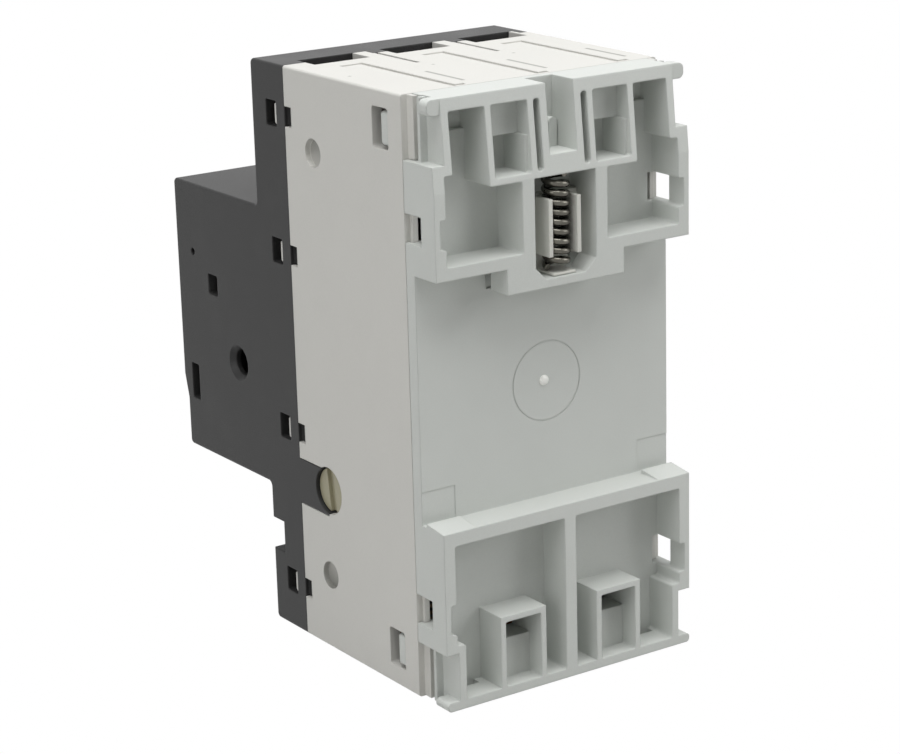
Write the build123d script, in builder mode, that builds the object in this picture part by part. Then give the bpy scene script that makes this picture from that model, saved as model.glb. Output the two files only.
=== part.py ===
"""Manual motor starter for a 35 mm rail: three moulded shells, rotary knob, contacts and trip parts.

Frame: X across the poles, +Y out of the back towards the rail, +Z up. The origin is the middle of
the rail seat face. Lengths are millimetres. Rest is the OFF position.
"""
from build123d import *
import os

# Overall envelope
width = 45.0
height = 90.0
seam_y = -33.9            # where the dark front cover meets the mid housing
plate_y = -43.6           # front of the upper terminal plate
lower_plate_y = -43.2     # front of the lower terminal plate
box_front_y = -70.1       # front of the raised box
box_half_height = 22.3
step_depth = 1.0          # the lowest third of the box front is set back
step_top_z = -10.5
step_bottom_z = -14.4
wall = 1.6                # cover wall
front_wall = 2.0
housing_wall = 1.8
edge_radius = 0.4
hole_radius = 0.3         # corners of small windows
over = 1.0                # how far a cut runs past a face
corner_radius = 0.8
part_gap = 0.1            # between shells and pieces that are clipped or laid together

# Rail seat: a 35 mm rail with a flange 1 mm thick
rail_height = 35.0
rail_play = 0.1
flange_slot = 1.3         # room for the flange behind the upper tab
slot_recess = 0.4         # the seat is this much deeper behind the tab
ramp_crest = 0.6
ramp_crest_y = 1.1
ramp_inner_x = 16.7
ramp_root = 0.2           # depth to which a ramp runs into the ledge
ramp_mark_height = 5.0
mark_depth = 0.08

# Poles
pole_margin = 0.75        # beside the three poles, at each side
barrier = 1.2             # wall between two poles

# Rear base
base_back_y = 5.4         # rear rims of the base
bar_back_y = 4.2          # rear of the top bar, set back from the rims
lean_start_z = 32.0
housing_back_y = -2.2     # rear end of the mid housing
upper_floor_y = -0.8
lower_floor_y = -0.1
block_bottom_z = 19.5
tab_bottom_z = 15.7
tab_half_width = 10.4
ear_top_z = 35.8
ear_bottom_z = -36.2
ear_skin = 0.9
side_wall_x = 20.35       # outside of the blocks' own side walls
side_wall = 1.2
ear_wall = 1.9
rib = 1.0
top_bar = 1.9
lip_front_y = 2.2
lip_height = 2.3
foot_height = 1.4
ledge_wall = 2.1
bottom_wall = 1.85
column_half_width = 7.5
cell_bottom_z = 31.8
inner_cell_x = (5.7, 12.0)
slot_x = (3.6, 4.7)
slot_radius = 0.5
step_z = 34.3             # the outer pockets narrow above this height
low_step_z = -35.0
pocket_radius = 0.35
notch_half_width = 2.4
notch_floor_z = 34.9
boss_x = -1.5             # rib with a domed end in the notch
boss_radius = 0.75
boss_reach = 3.5
boss_height = 1.4
cell_plate_y = 1.9
cell_plate_z = 38.1
cell_step = 0.5           # ledge along one wall of each inner cell
cell_step_y = 4.3
deep_cell_z = 39.3        # the outer cells are deeper above this height
deep_floor_y = -1.7
rim_thickness = 0.8
rim_back_y = -0.6
ear_web_y = -1.4         # front of the web between the floor and an ear
flange_y = (0.3, 1.0)
ear_window_y = 1.97
upper_window_z = (24.0, 28.25)
lower_window_z = (-33.2, -28.65)
tower_x = (4.7, 12.9)
tower_top_z = -32.5
tower_wall = 0.9
tower_ledge_z = -37.4
tower_plate_y = 2.2
vent_x = (14.2, 18.6)     # low opening in the bottom wall beside each tower
vent_back_y = 1.3
disc_mark_radius = 6.15
disc_mark_line = 0.2

# Rail slider and its spring
slider_clear = 0.1
spring_axis_y = 3.0
spring_radius = 1.95
spring_wire = 1.0
spring_turns = 9.5
pocket_half_width = 5.4
pocket_floor_z = 17.0
pocket_top_z = 31.9
pocket_chamfer = 1.8
slider_foot = 0.35
fin_gap = 2.15            # from the middle to the inside of a fin
fin = 0.7
fin_z = (20.0, 28.4)
fin_back_y = 5.2

# Clips between cover and housing, and between housing and base
clip_zs = (37.4, 16.2, -11.8, -37.2)
clip_window_y = (-39.3, -36.3)
clip_window_height = 4.0
clip_tab_length = 1.75
clip_tab_height = 2.9
tab_step = 0.6            # tabs lie this far under the side face
clip_width = 3.2
base_clip_zs = (39.5, -39.1)
base_window_y = (-9.8, -5.7)
base_window_height = 6.0
base_hook_reach = 1.4
base_clip_width = 4.9
clip_thickness = 0.7
hook = 0.95
hook_corner = 0.4
base_hook_corner = 0.6
lip_corner = 0.9
foot_corner = 0.6

# Coupling disc at the side, in a tongue of the cover
shaft_y = -25.8
shaft_z = -19.2
shaft_radius = 2.0
disc_radius = 3.45
disc_gap = 0.15
disc_recess = 0.6
disc_slot = 1.6
disc_slot_tilt = 8.0
tongue_z = (-23.2, -16.0)

# Marks and holes in the sides
dimple_radius = 2.15
dimple_depth = 0.9
dimple_places = ((-26.3, 33.0), (-26.1, -32.9))
accessory_hole_radius = 2.1
accessory_hole_place = (-51.6, -4.7)
pin_hole_radius = 0.6
pin_hole_place = (-64.8, 11.0)
square_hole_y = (-60.2, -57.3)
square_hole_z = (4.9, 8.3)
edge_slot_y = (-67.25, -64.9)
edge_slot_z = (-14.0, -8.0)
notch_depth = 3.5         # grip notch under the box, at each side
notch_reach = 3.0

# Terminals
wire_width = 9.7
wire_y = (-36.2, -31.2)
wire_offset_x = -0.8
post_width = 2.3
slit_width = 0.7          # slits in the end walls, beside the barriers
slit_end_y = -22.4
relief_x = -1.7           # relief lines on the end walls
relief_y = (-27.8, -2.8)
relief_width = 0.9
relief_foot = 3.6
relief_depth = 0.5
screw_z = 36.0
screw_hole = 6.4
screw_hole_corner = 2.1
screw_radius = 1.75
head_radius = 2.8
head_height = 2.3
head_front_y = -41.4
screw_tip_y = -28.6
clamp_y = (-37.4, -36.5)
clamp_size = 8.4
clamp_lip = 0.8
drive_length = 3.4        # cross recess of the screws
drive_width = 0.9
bar_thickness = 1.0
bar_width = 7.6
bar_y = -31.0
line_jog_z = 25.0
load_shelf_y = -29.0
load_shelf_z = -2.2
load_bar_top_z = -30.0
load_leg_y = -11.0

# Rotary knob, dial and test slide
knob_z = 7.0
knob_radius = 10.8
knob_recess = 0.9
knob_collar = 3.2
grip_length = 19.0
grip_width = 6.6
grip_reach = 9.0
grip_draft = 0.6
grip_corner = 2.4
flutes = 24
flute_radius = 0.7
cam_y = (-50.0, -47.0)
cam_radius = 6.0
cam_lug = 1.5
press_clear = 0.05
spindle_radius = 2.5
run_clear = 0.08
dial_from_side = 9.5
dial_from_bottom = 6.9    # above the bottom of the raised box
dial_radius = 4.2
dial_shaft_radius = 1.5
dial_bore = 1.6
dial_cam_y = (-60.0, -58.0)
dial_cam_offset = 0.9
flange_thickness = 0.9
test_from_side = 13.5
test_from_bottom = 6.3
test_length = 5.0
test_width = 3.0
test_travel = 2.0

# Contacts
contact_travel = 2.5
carrier_y = (-29.5, -27.5)
carrier_height = 6.0
bridge_y = -24.5
bridge_thickness = 1.0
bridge_length = 15.0
bridge_width = 4.0
tip_offset = 6.0
tip_height = 1.0
tip_radius = 1.5
contact_spring_wire = 0.45
contact_spring_turns = 3
contact_spring_radius = 1.7
rod_head_radius = 5.0
rod_head_height = 1.0
rod_radius = 2.0
post_radius = 0.7
post_head = 0.6
carrier_side_gap = 4.1
lug_width = 2.0
disc_slot_depth = 0.7

# Arc chutes
arc_plates = 7
arc_plate_pitch = 2.3
arc_plate = 1.0
arc_y = (-16.8, -4.2)
arc_side_gap = 0.75       # between an arc plate and the barrier
arc_notch = 6.5
arc_cheek = 0.6
arc_cheek_half = 7.9

# Magnetic and thermal release
coil_z = -8.2
coil_radius = 4.2
coil_flange_radius = 4.8
coil_y = (-31.0, -20.0)
yoke = 0.8
plunger_radius = 1.5
plunger_head_radius = 2.4
plunger_y = (-37.0, -22.0)
bimetal_y = (-16.2, -11.8)
bimetal_thickness = 0.9
bimetal_top_z = -22.0
heater_z = (-38.0, -26.0)
heater_wall = 0.7
heater_gap = 0.35
trip_bar_z = (-20.8, -18.8)
trip_bar_y = (-17.6, -10.4)
finger_end_z = -24.0
latch_y = -39.7
latch_z = 1.0
latch_pin_radius = 1.0
lever_end_z = -12.0

# Mechanism frame
frame_sheet = 1.0
frame_front_y = -56.0
frame_z = (3.6, 18.0)
frame_plate_bottom_z = -4.0

half_width = width / 2
half_height = height / 2
cover_inner_x = half_width - wall
wire_floor_z = half_height - 2 * wall
seat_bottom_z = -rail_height / 2 - rail_play
base_front_y = housing_back_y + part_gap
dial_z = dial_from_bottom - box_half_height
test_z = test_from_bottom - box_half_height
pole_names = ("left", "centre", "right")
pole_pitch = (width - 2 * pole_margin) / len(pole_names)
pole_xs = (pole_pitch, 0.0, -pole_pitch)
arc_half_width = (pole_pitch - barrier) / 2 - arc_side_gap
carrier_half_width = half_width - carrier_side_gap
dial_x = dial_from_side - half_width
test_x = half_width - test_from_side
barrier_xs = (-pole_pitch / 2, pole_pitch / 2)
both = (1, -1)


def rear_plane(y):
    """Sketch plane at depth y: sketch x runs along X, sketch y along Z, normal towards the front."""
    return Plane.XZ.offset(-y)


def side_plane(x):
    """Sketch plane at x: sketch x runs along Y, sketch y along Z, normal along +X."""
    return Plane.YZ.offset(x)


def top_plane(z):
    """Sketch plane at z: sketch x runs along X, sketch y along Y, normal up."""
    return Plane.XY.offset(z)


def panel(a, b, corner=0.0, mode=Mode.ADD):
    """Adds a rectangle to the open sketch between limits a across and b up, corners rounded."""
    with Locations(((a[0] + a[1]) / 2, (b[0] + b[1]) / 2)):
        if corner:
            RectangleRounded(abs(a[1] - a[0]), abs(b[1] - b[0]), corner, mode=mode)
        else:
            Rectangle(abs(a[1] - a[0]), abs(b[1] - b[0]), mode=mode)


def wire_limits(x):
    """Limits in x of the wire entry of the pole at x."""
    middle = x + wire_offset_x
    return (middle - wire_width / 2, middle + wire_width / 2)


def sided(side, a):
    """Limits in x for the side 1 (+X) or -1 (-X)."""
    return tuple(sorted((side * a[0], side * a[1])))


def grow_back(y0, y1, mode=Mode.ADD):
    """Extrudes the last sketch, drawn on rear_plane(y0), back to y1."""
    extrude(amount=-(y1 - y0), mode=mode)


def finish(piece, label):
    """Names a finished piece and writes it."""
    piece.part.label = label
    export_step(piece.part, f"parts/{label}.step")


os.makedirs("parts", exist_ok=True)

# Front cover: one side profile across the full width, hollowed from the seam
box_step_y = box_front_y + step_depth
notch_z = (-33.2, -28.0)

with BuildPart() as front_cover:
    with BuildSketch(side_plane(-half_width)):
        with BuildLine():
            Polyline(
                (seam_y, half_height),
                (plate_y, half_height),
                (plate_y, box_half_height),
                (box_front_y, box_half_height),
                (box_front_y, step_top_z),
                (box_step_y, step_bottom_z),
                (box_step_y, -box_half_height),
                (lower_plate_y, -box_half_height),
                (lower_plate_y, -half_height),
                (seam_y, -half_height),
                close=True,
            )
        cover_face = make_face()
        fillet(cover_face.vertices().filter_by(
            lambda v: v.X < seam_y - over and abs(v.Y) > box_half_height - over), corner_radius)
    extrude(amount=width)
    rims = front_cover.faces().filter_by(Axis.X).edges()
    fillet(rims.filter_by(lambda e: e.center().Y < seam_y - over), edge_radius)
    with BuildSketch(side_plane(-half_width + wall)):
        panel((plate_y + wall, seam_y + over), (-half_height + wall, half_height - wall))
        panel((box_front_y + front_wall, plate_y + 2 * wall),
              (-box_half_height + wall, box_half_height - wall))
    extrude(amount=width - 2 * wall, mode=Mode.SUBTRACT)
    # Walls between the terminals
    with BuildSketch(rear_plane(plate_y + wall)):
        for x in barrier_xs:
            for side in both:
                panel((x - barrier / 2, x + barrier / 2),
                      sided(side, (box_half_height - wall, half_height - wall)))
    grow_back(plate_y + wall, wire_y[0] - 2 * part_gap)
    # Wire entries, with room for the housing's posts
    for side in both:
        with BuildSketch(top_plane(side * wire_floor_z)):
            for x in pole_xs:
                entry = wire_limits(x)
                panel((max(entry[0] - post_width - part_gap, -cover_inner_x), entry[1]),
                      (wire_y[0], seam_y + over))
        extrude(amount=side * (height - 2 * wire_floor_z), mode=Mode.SUBTRACT)
    # Screwdriver holes
    with BuildSketch(rear_plane(plate_y - over)):
        for x in pole_xs:
            for side in both:
                with Locations((x, side * screw_z)):
                    RectangleRounded(screw_hole, screw_hole, screw_hole_corner)
    grow_back(plate_y - over, plate_y + wall + over, mode=Mode.SUBTRACT)
    # Grip notches under the box
    for side in both:
        with BuildSketch(rear_plane(lower_plate_y - over)):
            panel(sided(side, (half_width - notch_reach, half_width + over)), notch_z,
                  corner=2 * hole_radius)
        grow_back(lower_plate_y - over, lower_plate_y + notch_depth, mode=Mode.SUBTRACT)
    # Side windows, small holes and the chamfered accessory hole
    with BuildSketch(side_plane(-half_width - over)):
        for z in clip_zs:
            panel(clip_window_y, (z - clip_window_height / 2, z + clip_window_height / 2),
                  corner=hole_radius)
        panel(square_hole_y, square_hole_z, corner=hole_radius)
        panel(edge_slot_y, edge_slot_z, corner=hole_radius)
        with Locations(pin_hole_place):
            Circle(pin_hole_radius)
        with Locations(accessory_hole_place):
            Circle(accessory_hole_radius)
    extrude(amount=width + 2 * over, mode=Mode.SUBTRACT)
    for side in both:
        mouth = front_cover.edges().filter_by(GeomType.CIRCLE).filter_by(
            lambda e: abs(e.radius - accessory_hole_radius) < part_gap
            and abs(e.center().X - side * half_width) < part_gap)
        chamfer(mouth, corner_radius)
    # Knob seat, dial hole and test slot in the front of the box
    with BuildSketch(rear_plane(box_front_y - over)):
        with Locations((0, knob_z)):
            Circle(knob_radius + 3 * part_gap)
    grow_back(box_front_y - over, box_front_y + knob_recess, mode=Mode.SUBTRACT)
    with BuildSketch(rear_plane(box_front_y - over)):
        with Locations((0, knob_z)):
            Circle(spindle_radius + run_clear)
        with Locations((dial_x, dial_z)):
            Circle(dial_radius + 2 * part_gap)
        panel((test_x - test_length / 2 - part_gap, test_x + test_length / 2 + test_travel + part_gap),
              (test_z - test_width / 2 - part_gap, test_z + test_width / 2 + part_gap))
    grow_back(box_front_y - over, box_front_y + front_wall + over, mode=Mode.SUBTRACT)
    # Tabs behind the seam, and the tongue that runs up to the coupling disc
    for side in both:
        with BuildSketch(side_plane(side * (half_width - wall))):
            for z in clip_zs:
                panel((seam_y - over, seam_y + clip_tab_length),
                      (z - clip_tab_height / 2, z + clip_tab_height / 2))
        extrude(amount=side * (wall - tab_step))
    with BuildSketch(side_plane(half_width - wall)):
        panel((seam_y - over, shaft_y), tongue_z)
        with Locations((shaft_y, shaft_z)):
            Circle(disc_radius + disc_gap, mode=Mode.SUBTRACT)
    extrude(amount=wall)
finish(front_cover, "front_cover")

# Mid housing: three cells side by side, open to the front and the back
cell_edges = (
    (-half_width + housing_wall, barrier_xs[0] - barrier / 2),
    (barrier_xs[0] + barrier / 2, barrier_xs[1] - barrier / 2),
    (barrier_xs[1] + barrier / 2, half_width - housing_wall),
)
inner_x = half_width - housing_wall
rim_zs = ((block_bottom_z + rib + part_gap, half_height - part_gap),
          (-half_height + part_gap, seat_bottom_z - rib - part_gap))
corner_rim_zs = ((ear_top_z + part_gap, half_height - part_gap),
                 (-half_height + part_gap, ear_bottom_z - part_gap))

with BuildPart() as mid_housing:
    with BuildSketch(rear_plane(seam_y)):
        panel((-half_width, half_width), (-half_height, half_height))
    grow_back(seam_y, housing_back_y)
    corners = mid_housing.edges().filter_by(Axis.Y)
    fillet(corners, edge_radius)
    with BuildSketch(rear_plane(seam_y - over)):
        for cell in cell_edges:
            panel(cell, (-half_height + housing_wall, half_height - housing_wall))
    grow_back(seam_y - over, housing_back_y + over, mode=Mode.SUBTRACT)
    # Inner rims that run a little way into the base
    for rims_z, rims_back_y in ((rim_zs, ear_web_y - part_gap), (corner_rim_zs, rim_back_y)):
        with BuildSketch(rear_plane(housing_back_y - over)):
            for side in both:
                for z in rims_z:
                    panel(sided(side, (inner_x, inner_x + rim_thickness)), z)
        grow_back(housing_back_y - over, rims_back_y)
    # Barriers reach forward between the terminals, and posts stand beside the wire entries
    with BuildSketch(rear_plane(wire_y[0] + part_gap)):
        for side in both:
            for x in barrier_xs:
                panel((x - barrier / 2, x + barrier / 2),
                      sided(side, (box_half_height, half_height - 2 * wall)))
            for x in pole_xs:
                edge = wire_limits(x)[0]
                panel((max(edge - post_width, part_gap - cover_inner_x), edge),
                      sided(side, (wire_floor_z + part_gap, half_height)))
    grow_back(wire_y[0] + part_gap, seam_y + over)
    # Wire entries, and the slits between the poles' end walls
    for side in both:
        with BuildSketch(top_plane(side * wire_floor_z)):
            for x in pole_xs:
                panel(wire_limits(x), (wire_y[0] - over, wire_y[1]))
            for x in barrier_xs:
                panel((x - barrier - slit_width / 2, x - barrier + slit_width / 2),
                      (seam_y - over, slit_end_y))
        extrude(amount=side * (height - 2 * wire_floor_z), mode=Mode.SUBTRACT)
    # Shallow relief lines on the end walls, one bent line for each pole
    for side in both:
        with BuildSketch(top_plane(side * half_height)):
            for x in pole_xs:
                line = x + relief_x
                panel((line - relief_width / 2, line + relief_width / 2), relief_y)
                panel((line, line + relief_foot), (relief_y[0], relief_y[0] + relief_width))
                panel((line - relief_foot / 2, line), (relief_y[1] - relief_width, relief_y[1]))
        extrude(amount=-side * relief_depth, mode=Mode.SUBTRACT)
    # Openings in the barriers for the contact carrier, the trip bar and the switch shaft
    with BuildSketch(side_plane(-pole_pitch)):
        panel((carrier_y[0] - 4 * part_gap, carrier_y[1] + contact_travel + 4 * part_gap),
              (knob_z - carrier_height / 2 - 4 * part_gap, knob_z + carrier_height / 2 + 4 * part_gap))
        panel((trip_bar_y[0] - 3 * part_gap, trip_bar_y[1] + 3 * part_gap),
              (finger_end_z - 3 * part_gap, trip_bar_z[1] + 3 * part_gap))
        with Locations((shaft_y, shaft_z)):
            Circle(shaft_radius + run_clear)
    extrude(amount=2 * pole_pitch, mode=Mode.SUBTRACT)
    # Side wall: windows for the base's hooks, notches for the cover's tabs, round dimples
    with BuildSketch(side_plane(-half_width - over)):
        for z in base_clip_zs:
            panel(base_window_y, (z - base_window_height / 2, z + base_window_height / 2),
                  corner=slot_radius)
        for z in clip_zs:
            panel((seam_y - over, seam_y + clip_tab_length + part_gap),
                  (z - clip_tab_height / 2 - part_gap, z + clip_tab_height / 2 + part_gap))
    extrude(amount=width + 2 * over, mode=Mode.SUBTRACT)
    for side in both:
        with BuildSketch(side_plane(side * (half_width + over))):
            for place in dimple_places:
                with Locations(place):
                    Circle(dimple_radius)
        extrude(amount=-side * (dimple_depth + over), mode=Mode.SUBTRACT)
    with BuildSketch(side_plane(inner_x - over)):
        panel((seam_y - over, shaft_y), (tongue_z[0] - part_gap, tongue_z[1] + part_gap))
        with Locations((shaft_y, shaft_z)):
            Circle(disc_radius + 2 * disc_gap)
    extrude(amount=housing_wall + 2 * over, mode=Mode.SUBTRACT)
    # Spring tongues with hooks that show in the cover's windows
    for side in both:
        inside = side * (half_width - wall - part_gap)
        with BuildSketch(side_plane(inside)):
            for z in clip_zs:
                panel((clip_window_y[1] - hook, seam_y + 3 * over),
                      (z - clip_width / 2, z + clip_width / 2))
        extrude(amount=-side * clip_thickness)
        with BuildSketch(side_plane(inside)):
            for z in clip_zs:
                panel((clip_window_y[1] - hook, clip_window_y[1] - part_gap),
                      (z - clip_width / 2, z + clip_width / 2), corner=hook_corner)
        extrude(amount=side * (wall - 2 * part_gap))
finish(mid_housing, "mid_housing")

# Rear base: slab behind the rail, ribbed block above it and ribbed block below it
slab_x = inner_x - part_gap
ear_inner_x = half_width - ear_wall
cell_inner_z = (cell_bottom_z + rib, half_height - top_bar)
outer_cell_x = (inner_cell_x[1] + rib, side_wall_x - side_wall)
lean = (base_back_y - bar_back_y) / (half_height - lean_start_z)
foot_top_z = -half_height + foot_height
ear_step = ear_wall - ear_skin

with BuildPart() as rear_base:
    with BuildSketch(rear_plane(base_front_y)):
        panel((-slab_x, slab_x), (-half_height, half_height))
        panel((-half_width, half_width), (seat_bottom_z - rib, block_bottom_z + rib))
        for side in both:
            skin = sided(side, (half_width - ear_skin, half_width))
            panel(skin, (block_bottom_z, ear_top_z))
            panel(skin, (ear_bottom_z, seat_bottom_z))
    grow_back(base_front_y, 0)
    with BuildSketch(rear_plane(ear_web_y)):
        for side in both:
            web = sided(side, (slab_x - rib, half_width))
            panel(web, (block_bottom_z, ear_top_z))
            panel(web, (ear_bottom_z, seat_bottom_z))
    grow_back(ear_web_y, 0)
    # Outline of the two blocks
    with BuildSketch(rear_plane(0)):
        panel((-side_wall_x, side_wall_x), (cell_bottom_z, half_height))
        panel((-half_width, half_width), (block_bottom_z, ear_top_z))
        panel((-tab_half_width, tab_half_width), (tab_bottom_z, block_bottom_z))
        panel((-half_width, half_width), (ear_bottom_z, seat_bottom_z))
        panel((-side_wall_x, side_wall_x), (-half_height, ear_bottom_z))
    grow_back(0, base_back_y)
    # Upper block leans in towards its top bar
    with BuildSketch(side_plane(-half_width - over)):
        with BuildLine():
            Polyline(
                (base_back_y, lean_start_z),
                (base_back_y + over, lean_start_z),
                (base_back_y + over, half_height + over),
                (bar_back_y - lean, half_height + over),
                close=True,
            )
        make_face()
    extrude(amount=width + 2 * over, mode=Mode.SUBTRACT)
    # Lip of the top bar and foot bar, both to the full width, and the flanges between them
    with BuildSketch(rear_plane(lip_front_y)):
        panel((-half_width, half_width), (half_height - lip_height, half_height), corner=lip_corner)
    grow_back(lip_front_y, bar_back_y)
    with BuildSketch(rear_plane(lip_front_y)):
        panel((-half_width, half_width), (-half_height, foot_top_z), corner=foot_corner)
    grow_back(lip_front_y, base_back_y)
    with BuildSketch(rear_plane(flange_y[0])):
        for side in both:
            edge = sided(side, (side_wall_x - rib / 2, inner_x + rim_thickness))
            panel(edge, (ear_top_z - rib / 2, half_height - part_gap))
            panel(edge, (-half_height + part_gap, ear_bottom_z + rib / 2))
    grow_back(*flange_y)
    # Ramps that snap under the rail
    for side in both:
        with BuildSketch(side_plane(side * ramp_inner_x)):
            with BuildLine():
                Polyline(
                    (ramp_crest_y, seat_bottom_z - ramp_root),
                    (ramp_crest_y, seat_bottom_z + ramp_crest),
                    (base_back_y, seat_bottom_z),
                    (base_back_y, seat_bottom_z - ramp_root),
                    close=True,
                )
            make_face()
        extrude(amount=side * (half_width - ramp_inner_x))
    # Pockets of the upper block
    with BuildSketch(rear_plane(upper_floor_y)) as upper_pockets:
        for side in both:
            panel(sided(side, (column_half_width, ear_inner_x)),
                  (block_bottom_z + bottom_wall, cell_bottom_z))
            panel(sided(side, (outer_cell_x[0], ear_inner_x)), (cell_bottom_z - over, step_z))
            panel(sided(side, outer_cell_x), (cell_bottom_z, cell_inner_z[1]))
            panel(sided(side, (ear_inner_x - over, ear_inner_x + ear_step)), upper_window_z)
        fillet(upper_pockets.vertices(), pocket_radius)
    grow_back(upper_floor_y, base_back_y + over, mode=Mode.SUBTRACT)
    with BuildSketch(rear_plane(upper_floor_y)):
        for side in both:
            panel(sided(side, inner_cell_x), cell_inner_z, corner=pocket_radius)
            panel(sided(side, slot_x), cell_inner_z, corner=slot_radius)
        panel((-notch_half_width, notch_half_width), (notch_floor_z, half_height + over))
    grow_back(upper_floor_y, base_back_y + over, mode=Mode.SUBTRACT)
    # Half-depth plates in the inner cells, and the ribbed boss in the notch
    with BuildSketch(rear_plane(upper_floor_y)):
        for side in both:
            panel(sided(side, inner_cell_x), (cell_plate_z, cell_inner_z[1]))
    grow_back(upper_floor_y, cell_plate_y)
    with BuildSketch(rear_plane(upper_floor_y)):
        for side in both:
            ledge_x = sided(side, inner_cell_x)[0]
            panel((ledge_x, ledge_x + cell_step), (cell_inner_z[0], cell_plate_z))
    grow_back(upper_floor_y, cell_step_y)
    with BuildSketch(rear_plane(deep_floor_y)):
        for side in both:
            panel(sided(side, outer_cell_x), (deep_cell_z, cell_inner_z[1]))
    grow_back(deep_floor_y, cell_plate_y, mode=Mode.SUBTRACT)
    with BuildSketch(rear_plane(upper_floor_y)):
        panel((boss_x - boss_radius, boss_x + boss_radius), (notch_floor_z, notch_floor_z + boss_reach))
        with Locations((boss_x, notch_floor_z + boss_reach)):
            Circle(boss_radius)
    grow_back(upper_floor_y, upper_floor_y + boss_height)
    # Spring pocket, and the slot behind the tab where the rail's flange goes up
    with BuildSketch(rear_plane(upper_floor_y)):
        with BuildLine():
            Polyline(
                (-pocket_half_width, pocket_top_z),
                (-pocket_half_width, pocket_floor_z + pocket_chamfer),
                (-pocket_half_width + pocket_chamfer, pocket_floor_z),
                (pocket_half_width - pocket_chamfer, pocket_floor_z),
                (pocket_half_width, pocket_floor_z + pocket_chamfer),
                (pocket_half_width, pocket_top_z),
                close=True,
            )
        make_face()
    grow_back(upper_floor_y, base_back_y + over, mode=Mode.SUBTRACT)
    with BuildSketch(rear_plane(-slot_recess)):
        panel((-tab_half_width, tab_half_width), (tab_bottom_z, block_bottom_z))
    grow_back(-slot_recess, flange_slot, mode=Mode.SUBTRACT)
    # Pockets of the lower block
    with BuildSketch(rear_plane(lower_floor_y)) as lower_pockets:
        for side in both:
            panel(sided(side, (rib, ear_inner_x)), (low_step_z, seat_bottom_z - ledge_wall))
            panel(sided(side, (rib, side_wall_x - side_wall)), (foot_top_z, low_step_z + over))
            panel(sided(side, (ear_inner_x - over, ear_inner_x + ear_step)), lower_window_z)
        fillet(lower_pockets.vertices(), pocket_radius)
    grow_back(lower_floor_y, base_back_y + over, mode=Mode.SUBTRACT)
    # Open towers in the lower pockets: deep above the ledge, half deep below it
    with BuildSketch(rear_plane(lower_floor_y)):
        for side in both:
            panel(sided(side, tower_x), (foot_top_z - ramp_root, tower_top_z))
    grow_back(lower_floor_y, base_back_y)
    tower_inner_x = (tower_x[0] + tower_wall, tower_x[1] - tower_wall)
    with BuildSketch(rear_plane(tower_plate_y)):
        for side in both:
            panel(sided(side, tower_inner_x), (foot_top_z, tower_top_z - tower_wall), corner=hole_radius)
    grow_back(tower_plate_y, base_back_y + over, mode=Mode.SUBTRACT)
    with BuildSketch(rear_plane(base_front_y - over)):
        for side in both:
            panel(sided(side, tower_inner_x), (tower_ledge_z, tower_top_z - tower_wall))
    grow_back(base_front_y - over, tower_plate_y + over / 2, mode=Mode.SUBTRACT)
    with BuildSketch(rear_plane(lower_floor_y)):
        for side in both:
            panel(sided(side, vent_x), (-half_height - over, foot_top_z + over))
    grow_back(lower_floor_y, vent_back_y, mode=Mode.SUBTRACT)
    # Windows in the ears, open through the edge of the slab
    with BuildSketch(rear_plane(base_front_y - over)):
        for side in both:
            for z in (upper_window_z, lower_window_z):
                panel(sided(side, (ear_inner_x - ear_skin, half_width + over)), z)
    grow_back(base_front_y - over, ear_window_y, mode=Mode.SUBTRACT)
    # Moulding marks in the rail face: a round one, and one above each ramp
    with BuildSketch(rear_plane(-mark_depth)):
        Circle(disc_mark_radius)
        Circle(disc_mark_radius - disc_mark_line, mode=Mode.SUBTRACT)
        for side in both:
            panel(sided(side, (ramp_inner_x, half_width + over)),
                  (seat_bottom_z, seat_bottom_z + ramp_mark_height))
    grow_back(-mark_depth, ramp_crest_y, mode=Mode.SUBTRACT)
    # Spring tongues with hooks that show in the housing's windows
    for side in both:
        with BuildSketch(side_plane(side * slab_x)):
            for z in base_clip_zs:
                panel((base_window_y[1] - base_hook_reach, base_front_y + over),
                      (z - base_clip_width / 2, z + base_clip_width / 2))
        extrude(amount=-side * clip_thickness)
        with BuildSketch(side_plane(side * slab_x)):
            for z in base_clip_zs:
                panel((base_window_y[1] - base_hook_reach, base_window_y[1] - part_gap),
                      (z - base_clip_width / 2, z + base_clip_width / 2), corner=base_hook_corner)
        extrude(amount=side * (housing_wall - 4 * part_gap))
finish(rear_base, "rear_base")

# Rail slider: foot, back plate and two fins that hold the spring
foot_z = pocket_floor_z + slider_clear
slider_front_y = upper_floor_y + slider_clear
plate_back_y = spring_axis_y - spring_radius - slider_clear
foot_half_width = pocket_half_width - pocket_chamfer - slider_clear

with BuildPart() as rail_slider:
    with BuildSketch(rear_plane(slider_front_y)):
        panel((-foot_half_width, foot_half_width), (foot_z, fin_z[0]))
        panel((-pocket_half_width + slider_clear, pocket_half_width - slider_clear),
              (pocket_floor_z + pocket_chamfer + slider_clear, fin_z[1]))
    grow_back(slider_front_y, plate_back_y)
    with BuildSketch(rear_plane(slider_front_y)):
        panel((-spring_radius, spring_radius), (foot_z, foot_z + slider_foot))
    grow_back(slider_front_y, spring_axis_y + spring_radius)
    with BuildSketch(rear_plane(plate_back_y)):
        for side in both:
            panel(sided(side, (fin_gap, fin_gap + fin)), fin_z)
    grow_back(plate_back_y, fin_back_y)
finish(rail_slider, "rail_slider")


def coil_spring(start, length, axis, turns, radius, wire):
    """Draws a helix from start along axis, wire included in its length, and returns the swept part."""
    with BuildPart() as spring:
        with BuildLine():
            helix = Helix(
                pitch=(length - wire) / turns,
                height=length - wire,
                radius=radius - wire / 2,
                center=Vector(*start) + Vector(*axis) * (wire / 2),
                direction=axis,
            )
        with BuildSketch(Plane(origin=helix @ 0, z_dir=helix % 0)):
            Circle(wire / 2)
        sweep(is_frenet=True)
    return spring


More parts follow.
